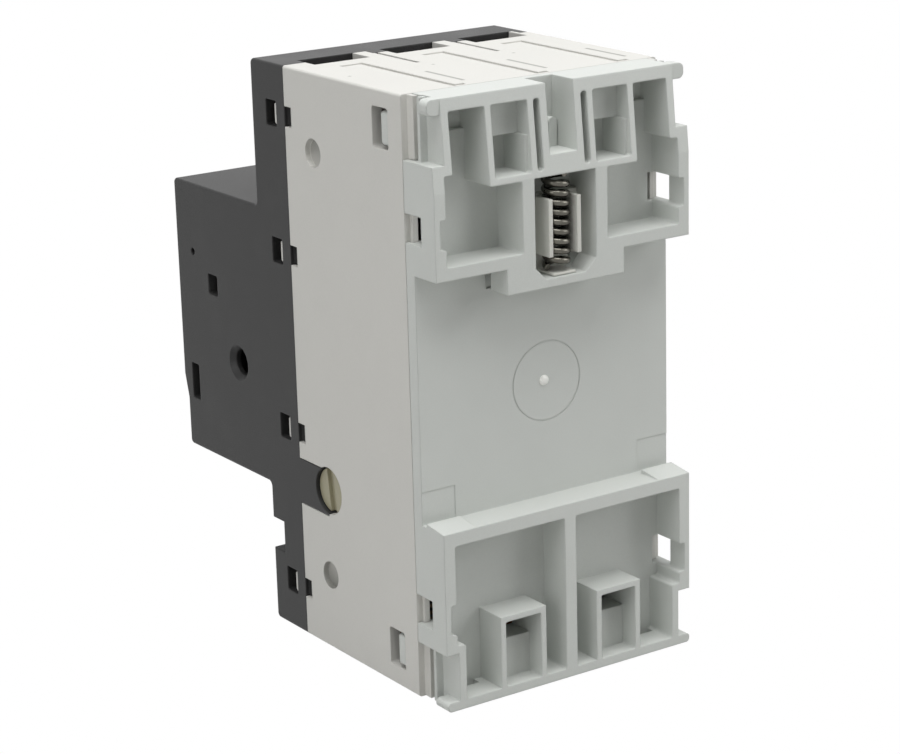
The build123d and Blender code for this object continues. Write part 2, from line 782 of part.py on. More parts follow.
spring_seat_z = foot_z + slider_foot
rail_spring = coil_spring(
    (0, spring_axis_y, spring_seat_z + part_gap / 2),
    pocket_top_z - spring_seat_z - part_gap, (0, 0, 1), spring_turns, spring_radius, spring_wire)
finish(rail_spring, "rail_spring")

# Terminals and contact bars: one strip in each pole
contact_y = bridge_y + bridge_thickness + tip_height + contact_travel + part_gap
strip_y = (contact_y + tip_height, contact_y + tip_height + bar_thickness)
bar_back = bar_y + bar_thickness
bar_end_z = half_height - housing_wall - 2 * part_gap
line_tip_z = knob_z + tip_offset
load_tip_z = knob_z - tip_offset
strip_reach = tip_radius + 2 * part_gap


def strips(outline):
    """Adds a strip of the outline, points in Y and Z, to each pole of the open part."""
    for x in pole_xs:
        with BuildSketch(side_plane(x - bar_width / 2)) as side_view:
            with BuildLine():
                Polyline(*outline, close=True)
            make_face()
        extrude(side_view.sketch, amount=bar_width)


def round_in_poles(y0, y1, z, radius, mode=Mode.ADD):
    """Adds or cuts a round of the radius in each pole at height z, from depth y0 to y1."""
    with BuildSketch(rear_plane(y0)) as rounds:
        for x in pole_xs:
            with Locations((x, z)):
                Circle(radius)
    extrude(rounds.sketch, amount=-(y1 - y0), mode=mode)


with BuildPart() as line_terminal_bars:
    strips((
        (bar_y, bar_end_z), (bar_y, line_jog_z), (strip_y[0], line_jog_z),
        (strip_y[0], line_tip_z - strip_reach), (strip_y[1], line_tip_z - strip_reach),
        (strip_y[1], line_jog_z + bar_thickness), (bar_back, line_jog_z + bar_thickness),
        (bar_back, bar_end_z),
    ))
    round_in_poles(bar_y - over, bar_back + over, screw_z, screw_radius + run_clear, Mode.SUBTRACT)
    round_in_poles(contact_y, strip_y[0], line_tip_z, tip_radius)
finish(line_terminal_bars, "line_terminal_bars")

with BuildPart() as load_contact_bars:
    strips((
        (strip_y[0], load_tip_z + strip_reach), (strip_y[0], load_shelf_z + bar_thickness),
        (load_shelf_y, load_shelf_z + bar_thickness), (load_shelf_y, load_shelf_z),
        (strip_y[1], load_shelf_z), (strip_y[1], load_tip_z + strip_reach),
    ))
    round_in_poles(contact_y, strip_y[0], load_tip_z, tip_radius)
finish(load_contact_bars, "load_contact_bars")

with BuildPart() as load_terminal_bars:
    strips((
        (bar_y, load_bar_top_z), (bar_y, -bar_end_z), (load_leg_y, -bar_end_z),
        (load_leg_y, -bar_end_z + bar_thickness), (bar_back, -bar_end_z + bar_thickness),
        (bar_back, load_bar_top_z),
    ))
    round_in_poles(bar_y - over, bar_back + over, -screw_z, screw_radius + run_clear, Mode.SUBTRACT)
finish(load_terminal_bars, "load_terminal_bars")

for side, row in ((1, "line"), (-1, "load")):
    with BuildPart() as clamp_plates:
        with BuildSketch(rear_plane(clamp_y[0])):
            for x in pole_xs:
                with Locations((x, side * screw_z)):
                    Rectangle(clamp_size, clamp_size)
                    Circle(screw_radius + run_clear, mode=Mode.SUBTRACT)
        grow_back(*clamp_y)
        for edge in both:
            with BuildSketch(rear_plane(clamp_y[1])):
                for x in pole_xs:
                    with Locations((x + edge * (clamp_size - clamp_lip) / 2, side * screw_z)):
                        Rectangle(clamp_lip, clamp_size)
            grow_back(clamp_y[1], clamp_y[1] + clamp_lip)
    finish(clamp_plates, f"{row}_clamp_plates")
    with BuildPart() as terminal_screws:
        round_in_poles(head_front_y, head_front_y + head_height, side * screw_z, head_radius)
        round_in_poles(head_front_y + head_height, screw_tip_y, side * screw_z, screw_radius)
        chamfer(terminal_screws.edges().filter_by(GeomType.CIRCLE).group_by(Axis.Y)[0], edge_radius)
        chamfer(terminal_screws.edges().filter_by(GeomType.CIRCLE).group_by(Axis.Y)[-1], edge_radius)
        with BuildSketch(rear_plane(head_front_y)):
            for x in pole_xs:
                with Locations((x, side * screw_z)):
                    Rectangle(drive_length, drive_width)
                    Rectangle(drive_width, drive_length)
        grow_back(head_front_y, head_front_y + head_height / 2, Mode.SUBTRACT)
    finish(terminal_screws, f"{row}_terminal_screws")

# Rotary knob: round collar with a lofted grip, on a spindle with a cam
collar_front_y = box_front_y + knob_recess - part_gap
grip_base_y = collar_front_y - knob_collar
grip_front_y = grip_base_y - grip_reach
spindle_front_y = grip_front_y + front_wall + grip_reach / 4

with BuildPart() as rotary_knob:
    with BuildSketch(rear_plane(collar_front_y)):
        with Locations((0, knob_z)):
            Circle(knob_radius)
    extrude(amount=knob_collar)
    chamfer(rotary_knob.edges().filter_by(GeomType.CIRCLE).group_by(Axis.Y)[0], corner_radius)
    for y, shrink in ((grip_base_y, 0), (grip_front_y, grip_draft)):
        with BuildSketch(rear_plane(y)):
            with Locations((0, knob_z)):
                RectangleRounded(grip_length - 2 * shrink, grip_width - 2 * shrink, grip_corner)
    loft()
    fillet(rotary_knob.faces().sort_by(Axis.Y)[0].edges(), edge_radius)
    with BuildSketch(rear_plane(collar_front_y)):
        with Locations((0, knob_z)):
            Circle(spindle_radius + press_clear)
    extrude(amount=collar_front_y - spindle_front_y + press_clear, mode=Mode.SUBTRACT)
    # Grip flutes round the collar
    with BuildSketch(rear_plane(collar_front_y - edge_radius)):
        with Locations((0, knob_z)):
            with PolarLocations(knob_radius + flute_radius / 2, flutes):
                Circle(flute_radius)
    extrude(amount=knob_collar, mode=Mode.SUBTRACT)
finish(rotary_knob, "rotary_knob")

with BuildPart() as knob_spindle:
    with BuildSketch(rear_plane(spindle_front_y)):
        with Locations((0, knob_z)):
            Circle(spindle_radius)
    grow_back(spindle_front_y, cam_y[1])
    chamfer(knob_spindle.edges().filter_by(GeomType.CIRCLE).group_by(Axis.Y)[0], edge_radius)
finish(knob_spindle, "knob_spindle")

with BuildPart() as drive_cam:
    with BuildSketch(rear_plane(cam_y[0])):
        with Locations((0, knob_z)):
            Circle(cam_radius)
            Circle(spindle_radius + press_clear, mode=Mode.SUBTRACT)
    grow_back(*cam_y)
    with BuildSketch(rear_plane(cam_y[1])):
        with Locations((0, knob_z)):
            Circle(cam_radius)
            Circle(cam_radius - cam_lug, mode=Mode.SUBTRACT)
            Rectangle(cam_radius, 2 * cam_radius, mode=Mode.SUBTRACT)
    grow_back(cam_y[1], cam_y[1] + cam_lug)
finish(drive_cam, "drive_cam")

# Contact carrier: push rod with a head, crossbar and a post in each pole
rod_front_y = cam_y[1] + cam_lug + 2 * part_gap
post_end_y = bridge_y + bridge_thickness + part_gap + post_head

with BuildPart() as contact_carrier:
    with BuildSketch(rear_plane(rod_front_y)):
        with Locations((0, knob_z)):
            Circle(rod_head_radius)
    grow_back(rod_front_y, rod_front_y + rod_head_height)
    with BuildSketch(rear_plane(rod_front_y + rod_head_height)):
        with Locations((0, knob_z)):
            Circle(rod_radius)
    grow_back(rod_front_y + rod_head_height, carrier_y[0])
    with BuildSketch(rear_plane(carrier_y[0])):
        panel((-carrier_half_width, carrier_half_width),
              (knob_z - carrier_height / 2, knob_z + carrier_height / 2), corner=edge_radius)
    grow_back(*carrier_y)
    round_in_poles(carrier_y[1], post_end_y, knob_z, post_radius)
    round_in_poles(post_end_y - post_head, post_end_y, knob_z, post_radius + post_head)
finish(contact_carrier, "contact_carrier")

for x, name in zip(pole_xs, pole_names):
    with BuildPart() as contact_bridge:
        with BuildSketch(rear_plane(bridge_y)):
            with Locations((x, knob_z)):
                RectangleRounded(bridge_width, bridge_length, edge_radius)
                Circle(post_radius + run_clear, mode=Mode.SUBTRACT)
        grow_back(bridge_y, bridge_y + bridge_thickness)
        with BuildSketch(rear_plane(bridge_y + bridge_thickness)):
            for z in (line_tip_z, load_tip_z):
                with Locations((x, z)):
                    Circle(tip_radius)
        grow_back(bridge_y + bridge_thickness, bridge_y + bridge_thickness + tip_height)
    finish(contact_bridge, f"contact_bridge_{name}")

coils = [
    coil_spring(
        (x, carrier_y[1] + part_gap / 2, knob_z), bridge_y - carrier_y[1] - part_gap, (0, 1, 0),
        contact_spring_turns, contact_spring_radius, contact_spring_wire)
    for x in pole_xs
]
with BuildPart() as contact_springs:
    for coil in coils:
        add(coil.part)
finish(contact_springs, "contact_springs")

# Switch shaft across the poles, with the slotted disc for accessories at the +X side
disc_inner_x = inner_x + part_gap
disc_outer_x = half_width - disc_recess

with BuildPart() as switch_shaft:
    with BuildSketch(side_plane(-inner_x + part_gap)):
        with Locations((shaft_y, shaft_z)):
            Circle(shaft_radius)
    extrude(amount=inner_x + disc_inner_x - 2 * part_gap)
    for x in pole_xs:
        with BuildSketch(side_plane(x - lug_width / 2)):
            with Locations((shaft_y, shaft_z)):
                SlotCenterToCenter(shaft_radius, 2 * shaft_radius, rotation=disc_slot_tilt)
        extrude(amount=lug_width)
finish(switch_shaft, "switch_shaft")

with BuildPart() as coupling_disc:
    with BuildSketch(side_plane(disc_inner_x)):
        with Locations((shaft_y, shaft_z)):
            Circle(disc_radius)
    extrude(amount=disc_outer_x - disc_inner_x)
    with BuildSketch(side_plane(disc_outer_x)):
        with Locations((shaft_y, shaft_z)):
            Rectangle(disc_slot, 2 * disc_radius + over, rotation=disc_slot_tilt)
    extrude(amount=-disc_slot_depth, mode=Mode.SUBTRACT)
finish(coupling_disc, "coupling_disc")

# Setting dial with its flange behind the box front, and the cam it turns
dial_front_y = box_front_y + step_depth - part_gap
dial_flange_y = box_front_y + front_wall + part_gap
dial_back_y = dial_flange_y + flange_thickness

with BuildPart() as setting_dial:
    with BuildSketch(rear_plane(dial_front_y)):
        with Locations((dial_x, dial_z)):
            Circle(dial_radius)
    grow_back(dial_front_y, dial_back_y)
    with BuildSketch(rear_plane(dial_flange_y)):
        with Locations((dial_x, dial_z)):
            Circle(dial_radius + flange_thickness)
    grow_back(dial_flange_y, dial_back_y)
    with BuildSketch(rear_plane(dial_back_y)):
        with Locations((dial_x, dial_z)):
            Circle(dial_shaft_radius + press_clear)
    extrude(amount=dial_bore, mode=Mode.SUBTRACT)
    with BuildSketch(rear_plane(dial_front_y)):
        with Locations((dial_x, dial_z)):
            Rectangle(drive_width, 2 * drive_length)
    grow_back(dial_front_y, dial_front_y + drive_width, Mode.SUBTRACT)
finish(setting_dial, "setting_dial")

with BuildPart() as dial_cam:
    with BuildSketch(rear_plane(dial_back_y - dial_bore + press_clear)):
        with Locations((dial_x, dial_z)):
            Circle(dial_shaft_radius)
    grow_back(dial_back_y - dial_bore + press_clear, dial_cam_y[1])
    with BuildSketch(rear_plane(dial_cam_y[0])):
        with Locations((dial_x + dial_cam_offset, dial_z)):
            Circle(2 * dial_shaft_radius)
    grow_back(*dial_cam_y)
finish(dial_cam, "dial_cam")

# Test slider in its slot beside the dial
with BuildPart() as test_slider:
    with BuildSketch(rear_plane(dial_front_y)):
        with Locations((test_x, test_z)):
            Rectangle(test_length, test_width)
    grow_back(dial_front_y, dial_back_y)
    with BuildSketch(rear_plane(dial_flange_y)):
        with Locations((test_x, test_z)):
            Rectangle(test_length + 2 * test_travel + 2 * flange_thickness,
                      test_width + 2 * flange_thickness)
    grow_back(dial_flange_y, dial_back_y)
    with BuildSketch(rear_plane(dial_front_y)):
        with Locations((test_x, test_z)):
            with GridLocations(test_length / 4, 0, 3, 1):
                Rectangle(test_length / 8, test_width + over)
    grow_back(dial_front_y, dial_front_y + edge_radius, Mode.SUBTRACT)
finish(test_slider, "test_slider")

# Arc chutes: notched plates between two cheeks in each pole
for x, name in zip(pole_xs, pole_names):
    with BuildPart() as arc_chute:
        for index in range(arc_plates):
            z = knob_z + (index - (arc_plates - 1) / 2) * arc_plate_pitch
            with BuildSketch(top_plane(z - arc_plate / 2)):
                panel((x - arc_half_width, x + arc_half_width), arc_y)
                with BuildLine():
                    Polyline(
                        (x - arc_half_width / 2, arc_y[0] - over),
                        (x + arc_half_width / 2, arc_y[0] - over),
                        (x, arc_y[0] + arc_notch),
                        close=True,
                    )
                make_face(mode=Mode.SUBTRACT)
            extrude(amount=arc_plate)
        for side in both:
            with BuildSketch(side_plane(x + side * arc_half_width)):
                panel(arc_y, (knob_z - arc_cheek_half, knob_z + arc_cheek_half))
            extrude(amount=-side * arc_cheek)
    finish(arc_chute, f"arc_chute_{name}")

# Magnetic trip: coil with plunger in each pole, yokes round the coils
for x, name in zip(pole_xs, pole_names):
    with BuildPart() as trip_coil:
        with BuildSketch(rear_plane(coil_y[0])):
            with Locations((x, coil_z)):
                Circle(coil_radius)
        grow_back(*coil_y)
        for y in (coil_y[0], coil_y[1] - yoke):
            with BuildSketch(rear_plane(y)):
                with Locations((x, coil_z)):
                    Circle(coil_flange_radius)
            grow_back(y, y + yoke)
        with BuildSketch(rear_plane(coil_y[0])):
            with Locations((x, coil_z)):
                Circle(plunger_radius + run_clear)
        grow_back(*coil_y, mode=Mode.SUBTRACT)
    finish(trip_coil, f"trip_coil_{name}")
    with BuildPart() as plunger:
        with BuildSketch(rear_plane(plunger_y[0])):
            with Locations((x, coil_z)):
                Circle(plunger_radius)
        grow_back(*plunger_y)
        with BuildSketch(rear_plane(plunger_y[0])):
            with Locations((x, coil_z)):
                Circle(plunger_head_radius)
        grow_back(plunger_y[0], plunger_y[0] + yoke)
    finish(plunger, f"plunger_{name}")

yoke_inner = coil_flange_radius + part_gap
yoke_outer = yoke_inner + yoke

with BuildPart() as magnet_yokes:
    with BuildSketch(side_plane(0)) as yoke_outline:
        panel((coil_y[0], coil_y[1] + part_gap + yoke), (coil_z - yoke_outer, coil_z + yoke_outer))
        panel((coil_y[0] - over, coil_y[1] + part_gap), (coil_z - yoke_inner, coil_z + yoke_inner),
              mode=Mode.SUBTRACT)
    for x in pole_xs:
        extrude(yoke_outline.sketch.moved(Location((x, 0, 0))), amount=coil_radius, both=True)
finish(magnet_yokes, "magnet_yokes")

# Thermal trip: bimetal strips with heater windings, standing on the load terminal bars
strip_foot_z = -bar_end_z + bar_thickness + part_gap / 2

with BuildPart() as bimetal_strips:
    with BuildSketch(rear_plane(bimetal_y[0])):
        for x in pole_xs:
            panel((x - bimetal_thickness / 2, x + bimetal_thickness / 2), (strip_foot_z, bimetal_top_z))
    grow_back(*bimetal_y)
finish(bimetal_strips, "bimetal_strips")

heater_inner = bimetal_thickness / 2 + heater_gap
heater_outer = heater_inner + heater_wall

with BuildPart() as heater_windings:
    with BuildSketch(top_plane(heater_z[0])):
        for x in pole_xs:
            panel((x - heater_outer, x + heater_outer),
                  (bimetal_y[0] - heater_gap - heater_wall, bimetal_y[1] + heater_gap + heater_wall),
                  corner=edge_radius)
            panel((x - heater_inner, x + heater_inner),
                  (bimetal_y[0] - heater_gap, bimetal_y[1] + heater_gap), mode=Mode.SUBTRACT)
    extrude(amount=heater_z[1] - heater_z[0])
finish(heater_windings, "heater_windings")

with BuildPart() as trip_bar:
    with BuildSketch(rear_plane(trip_bar_y[0])):
        panel((-carrier_half_width, carrier_half_width), trip_bar_z)
        for x in pole_xs:
            panel((x + bimetal_thickness, x + bimetal_thickness + rib), (finger_end_z, trip_bar_z[1]))
    grow_back(*trip_bar_y)
finish(trip_bar, "trip_bar")

# Latch: lever on a pin across the front of the poles
pin_end_x = cover_inner_x - part_gap

with BuildPart() as latch_pin:
    with BuildSketch(side_plane(-pin_end_x)):
        with Locations((latch_y, latch_z)):
            Circle(latch_pin_radius)
    extrude(amount=2 * pin_end_x)
finish(latch_pin, "latch_pin")

with BuildPart() as latch_lever:
    with BuildSketch(side_plane(-carrier_half_width)):
        with Locations((latch_y, latch_z)):
            Circle(2 * latch_pin_radius)
        panel((latch_y - rib / 2, latch_y + rib / 2), (lever_end_z, latch_z))
        with Locations((latch_y, latch_z)):
            Circle(latch_pin_radius + run_clear, mode=Mode.SUBTRACT)
    extrude(amount=2 * carrier_half_width)
finish(latch_lever, "latch_lever")

# Mechanism frame: bent sheet that carries the spindle and stands on the barriers
frame_half_width = pole_pitch / 2 + frame_sheet / 2

with BuildPart() as mechanism_frame:
    with BuildSketch(rear_plane(frame_front_y)):
        panel((-frame_half_width, frame_half_width), (frame_plate_bottom_z, frame_z[1]))
        with Locations((0, knob_z)):
            Circle(spindle_radius + run_clear, mode=Mode.SUBTRACT)
    grow_back(frame_front_y, frame_front_y + frame_sheet)
    with BuildSketch(rear_plane(frame_front_y + frame_sheet)):
        for side in both:
            panel(sided(side, (frame_half_width - frame_sheet, frame_half_width)), frame_z)
    grow_back(frame_front_y + frame_sheet, seam_y - part_gap)
finish(mechanism_frame, "mechanism_frame")
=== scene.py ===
"""Manual motor starter seen from behind: finishes, moulded and printed details, light and camera.

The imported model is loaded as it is. Its nodes get their finishes here, and the pieces that are
too fine for the solids are added. Lengths are metres unless a name ends in _mm.
"""
import logging
import math
from dataclasses import dataclass, field
from enum import Enum
from typing import Sequence

import bpy
from mathutils import Matrix, Vector


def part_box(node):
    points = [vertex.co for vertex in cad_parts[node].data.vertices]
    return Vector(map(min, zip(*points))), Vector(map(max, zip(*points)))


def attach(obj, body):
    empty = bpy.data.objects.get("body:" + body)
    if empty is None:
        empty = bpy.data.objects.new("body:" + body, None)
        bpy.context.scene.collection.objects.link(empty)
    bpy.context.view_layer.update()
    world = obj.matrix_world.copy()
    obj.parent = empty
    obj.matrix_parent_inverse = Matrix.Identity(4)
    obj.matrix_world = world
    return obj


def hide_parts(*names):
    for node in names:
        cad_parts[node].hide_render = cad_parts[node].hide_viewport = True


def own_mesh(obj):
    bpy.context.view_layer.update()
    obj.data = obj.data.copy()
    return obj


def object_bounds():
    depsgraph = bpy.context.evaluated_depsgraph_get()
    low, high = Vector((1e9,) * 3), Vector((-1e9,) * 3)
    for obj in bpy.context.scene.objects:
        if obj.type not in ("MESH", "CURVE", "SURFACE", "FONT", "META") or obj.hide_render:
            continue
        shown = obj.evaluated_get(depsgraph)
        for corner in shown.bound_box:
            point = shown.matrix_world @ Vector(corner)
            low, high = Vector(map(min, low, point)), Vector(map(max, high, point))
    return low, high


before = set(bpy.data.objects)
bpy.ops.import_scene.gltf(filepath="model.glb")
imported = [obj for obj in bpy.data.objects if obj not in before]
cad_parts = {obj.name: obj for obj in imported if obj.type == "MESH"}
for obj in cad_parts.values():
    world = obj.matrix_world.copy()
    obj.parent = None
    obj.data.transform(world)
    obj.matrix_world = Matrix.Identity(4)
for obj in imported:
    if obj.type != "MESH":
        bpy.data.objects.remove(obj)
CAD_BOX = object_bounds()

LOG = logging.getLogger("motor_starter")
MM = 0.001

Colour = tuple[float, float, float]


def from_screen(red: int, green: int, blue: int) -> Colour:
    """Turns a screen colour into a linear one.

    Args:
        red: Red, 0 to 255.
        green: Green, 0 to 255.
        blue: Blue, 0 to 255.

    Returns:
        The linear colour.
    """
    def channel(value: int) -> float:
        """One channel, by the sRGB curve."""
        share = value / 255
        return share / 12.92 if share <= 0.04045 else ((share + 0.055) / 1.055) ** 2.4

    return (channel(red), channel(green), channel(blue))


class Tree:
    """Short calls for building one node tree."""

    def __init__(self, tree: bpy.types.NodeTree) -> None:
        """Keeps the tree that the calls add to."""
        self.tree = tree

    def add(self, kind: str, **settings: object) -> bpy.types.Node:
        """Adds a node.

        Args:
            kind: The node's type name.
            settings: Properties to set on it.

        Returns:
            The new node.
        """
        node = self.tree.nodes.new(kind)
        for name, value in settings.items():
            setattr(node, name, value)
        return node

    def feed(self, node: bpy.types.Node, name: str | int, source: object) -> None:
        """Links a socket to the node's input, or sets the input to a plain value.

        Args:
            node: The node that is fed.
            name: The input's name or index.
            source: A socket, number, colour or vector.
        """
        if isinstance(source, bpy.types.NodeSocket):
            self.tree.links.new(source, node.inputs[name])
        else:
            node.inputs[name].default_value = source

    def maths(self, operation: str, first: object, second: object = 0.0) -> bpy.types.NodeSocket:
        """Adds a Math node on two values and returns its result."""
        node = self.add("ShaderNodeMath", operation=operation)
        self.feed(node, 0, first)
        self.feed(node, 1, second)
        return node.outputs[0]

    def tone(self, share: object, first: object, second: object) -> bpy.types.NodeSocket:
        """Mixes two colours by a share and returns the colour."""
        node = self.add("ShaderNodeMix", data_type="RGBA")
        self.feed(node, 0, share)
        self.feed(node, 6, first)
        self.feed(node, 7, second)
        return node.outputs[2]


class Socket(Enum):
    """Kinds of socket on a node group."""

    NUMBER = "NodeSocketFloat"
    COLOUR = "NodeSocketColor"
    VECTOR = "NodeSocketVector"


def open_group(name: str, inputs: Sequence[tuple[str, Socket, object]],
               outputs: Sequence[tuple[str, Socket]]
               ) -> tuple[Tree, bpy.types.Node, bpy.types.Node]:
    """Starts a shader node group with named sockets.

    Args:
        name: The group's name.
        inputs: Name, kind and starting value of each input.
        outputs: Name and kind of each output.

    Returns:
        The tree's helper, its input node and its output node.
    """
    group = bpy.data.node_groups.new(name, "ShaderNodeTree")
    for label, kind, value in inputs:
        socket = group.interface.new_socket(name=label, in_out="INPUT", socket_type=kind.value)
        socket.default_value = value
    for label, kind in outputs:
        group.interface.new_socket(name=label, in_out="OUTPUT", socket_type=kind.value)
    tree = Tree(group)
    return tree, tree.add("NodeGroupInput"), tree.add("NodeGroupOutput")


@dataclass
class SurfaceGroups:
    """Shader node groups that several finishes share, each built once."""

    bevel_samples: int = 6
    noise_mean: float = 0.5
    cloud_per_metre: float = 90.0
    cloud_detail: float = 3.0
    grain_detail: float = 2.0
    tone_gain: float = 2.0
    dark_tone: Colour = (0.02, 0.02, 0.018)
    light_tone: Colour = (1.0, 1.0, 0.98)
    roughness_swing: float = 0.18
    stain_per_metre: float = 500.0
    stain_detail: float = 4.0
    stain_roughness: float = 0.3
    line_squeeze: tuple[float, float, float] = (1.0, 1.0, 12.0)
    line_depth: float = 0.000008
    # Painted shade in the side dimples: its share at the dimple's middle, and how much it grows
    # away from mid-height.
    dimple_shade: float = 0.55
    dimple_shade_slope: float = 0.3

    def __post_init__(self) -> None:
        """Builds the groups."""
        self.moulded = self.make_moulded()
        self.drawn = self.make_drawn()
        self.painted_shade = self.make_painted_shade()

    def softened(self, tree: Tree, radius: object, height: object,
                 strength: object) -> bpy.types.NodeSocket:
        """Adds a bump over rounded-looking edges.

        Args:
            tree: The tree to add to.
            radius: How far the edges look rounded.
            height: The height that the bump follows.
            strength: How far a height of one stands up.

        Returns:
            The normal.
        """
        bevel = tree.add("ShaderNodeBevel", samples=self.bevel_samples)
        tree.feed(bevel, "Radius", radius)
        bump = tree.add("ShaderNodeBump")
        tree.feed(bump, "Strength", 1.0)
        tree.feed(bump, "Distance", strength)
        tree.feed(bump, "Height", height)
        tree.feed(bump, "Normal", bevel.outputs[0])
        return bump.outputs[0]

    def make_moulded(self) -> bpy.types.NodeTree:
        """Builds the moulded plastic surface: cloudy tone, fine grain and softened edges."""
        tree, given, out = open_group(
            "moulded_surface",
            [("Colour", Socket.COLOUR, (0.5, 0.5, 0.5, 1.0)), ("Cloud", Socket.NUMBER, 0.06),
             ("Roughness", Socket.NUMBER, 0.45), ("Grain Scale", Socket.NUMBER, 4000.0),
             ("Grain Depth", Socket.NUMBER, 0.00001), ("Edge", Socket.NUMBER, 0.0002)],
            [("Colour", Socket.COLOUR), ("Roughness", Socket.NUMBER), ("Normal", Socket.VECTOR)])
        place = tree.add("ShaderNodeTexCoord").outputs["Object"]
        cloud = tree.add("ShaderNodeTexNoise")
        tree.feed(cloud, "Vector", place)
        tree.feed(cloud, "Scale", self.cloud_per_metre)
        tree.feed(cloud, "Detail", self.cloud_detail)
        grain = tree.add("ShaderNodeTexNoise")
        tree.feed(grain, "Vector", place)
        tree.feed(grain, "Scale", given.outputs["Grain Scale"])
        tree.feed(grain, "Detail", self.grain_detail)
        shift = tree.maths("SUBTRACT", cloud.outputs["Fac"], self.noise_mean)
        share = tree.maths("MULTIPLY", shift, given.outputs["Cloud"])
        fine = tree.maths("SUBTRACT", grain.outputs["Fac"], self.noise_mean)
        share = tree.maths("ADD", share, tree.maths("MULTIPLY", fine, given.outputs["Cloud"]))
        below = tree.maths("MAXIMUM", tree.maths("MULTIPLY", share, -self.tone_gain), 0.0)
        darker = tree.tone(below, given.outputs["Colour"], (*self.dark_tone, 1.0))
        above = tree.maths("MAXIMUM", tree.maths("MULTIPLY", share, self.tone_gain), 0.0)
        lighter = tree.tone(above, darker, (*self.light_tone, 1.0))
        rough = tree.maths("ADD", given.outputs["Roughness"],
                           tree.maths("MULTIPLY", shift, self.roughness_swing))
        normal = self.softened(tree, given.outputs["Edge"], grain.outputs["Fac"],
                               given.outputs["Grain Depth"])
        tree.feed(out, "Colour", lighter)
        tree.feed(out, "Roughness", rough)
        tree.feed(out, "Normal", normal)
        return tree.tree

    def make_painted_shade(self) -> bpy.types.NodeTree:
        """Builds the mask of painted shade on the housing: lines over the top grooves and dots on
        top, and the dimples in the sides, darker away from mid-height.
        """
        tree, given, out = open_group(
            "painted_mark_shade",
            [("Pitch", Socket.NUMBER, 0.0145), ("Top", Socket.NUMBER, 0.0449),
             ("Line X", Socket.NUMBER, 0.0), ("Line Y", Socket.NUMBER, 0.0),
             ("Line Reach", Socket.NUMBER, 0.005), ("Line Half", Socket.NUMBER, 0.0003),
             ("Dot X", Socket.NUMBER, 0.0), ("Dot Y", Socket.NUMBER, 0.0),
             ("Dot Half", Socket.NUMBER, 0.0002),
             ("Dimple Y", Socket.NUMBER, 0.0), ("Dimple Z", Socket.NUMBER, 0.033),
             ("Dimple Radius", Socket.NUMBER, 0.002), ("Side", Socket.NUMBER, 0.02)],
            [("Shade", Socket.NUMBER)])
        place = tree.add("ShaderNodeSeparateXYZ")
        tree.feed(place, 0, tree.add("ShaderNodeTexCoord").outputs["Object"])
        across, back, up = place.outputs
        value = given.outputs

        def from_row(label: str) -> bpy.types.NodeSocket:
            """Distance across from the nearest mark of a row with one mark for each pole."""
            wrap = tree.add("ShaderNodeMath", operation="WRAP")
            tree.feed(wrap, 0, tree.maths("SUBTRACT", across, value[label]))
            tree.feed(wrap, 1, tree.maths("MULTIPLY", value["Pitch"], 0.5))
            tree.feed(wrap, 2, tree.maths("MULTIPLY", value["Pitch"], -0.5))
            return tree.maths("ABSOLUTE", wrap.outputs[0])

        def near(distance: object, reach: object) -> bpy.types.NodeSocket:
            """One in the middle, falling to nought at the reach."""
            fall = tree.add("ShaderNodeMath", operation="SUBTRACT", use_clamp=True)
            tree.feed(fall, 0, 1.0)
            tree.feed(fall, 1, tree.maths("DIVIDE", distance, reach))
            return fall.outputs[0]

        def apart(first: object, second: object) -> bpy.types.NodeSocket:
            """Length of a step with two parts at right angles."""
            squares = [tree.maths("MULTIPLY", part, part) for part in (first, second)]
            return tree.maths("SQRT", tree.maths("ADD", *squares))

        # Painted shade over the top grooves and at the dots.
        on_top = tree.maths("GREATER_THAN", up, value["Top"])
        along = tree.maths("ABSOLUTE", tree.maths("SUBTRACT", back, value["Line Y"]))
        line = tree.maths("MULTIPLY", near(from_row("Line X"), value["Line Half"]),
                          tree.maths("LESS_THAN", along, value["Line Reach"]))
        dot = near(apart(from_row("Dot X"), tree.maths("SUBTRACT", back, value["Dot Y"])),
                   value["Dot Half"])
        top_painted_shade = tree.maths("MULTIPLY", tree.maths("MAXIMUM", line, dot), on_top)
        # Painted shade in the side dimples, growing away from mid-height.
        high = tree.maths("SUBTRACT", tree.maths("ABSOLUTE", up), value["Dimple Z"])
        reach = apart(tree.maths("SUBTRACT", back, value["Dimple Y"]), high)
        dimple = tree.maths("MULTIPLY", tree.maths("LESS_THAN", reach, value["Dimple Radius"]),
                            tree.maths("LESS_THAN", value["Side"], tree.maths("ABSOLUTE", across)))
        rise = tree.maths("DIVIDE", high, value["Dimple Radius"])
        slope = tree.maths("MULTIPLY", rise, self.dimple_shade_slope)
        dimple_painted_shade = tree.maths("MULTIPLY", dimple, tree.maths("ADD", self.dimple_shade, slope))
        tree.feed(out, "Shade", tree.maths("MAXIMUM", top_painted_shade, dimple_painted_shade))
        return tree.tree

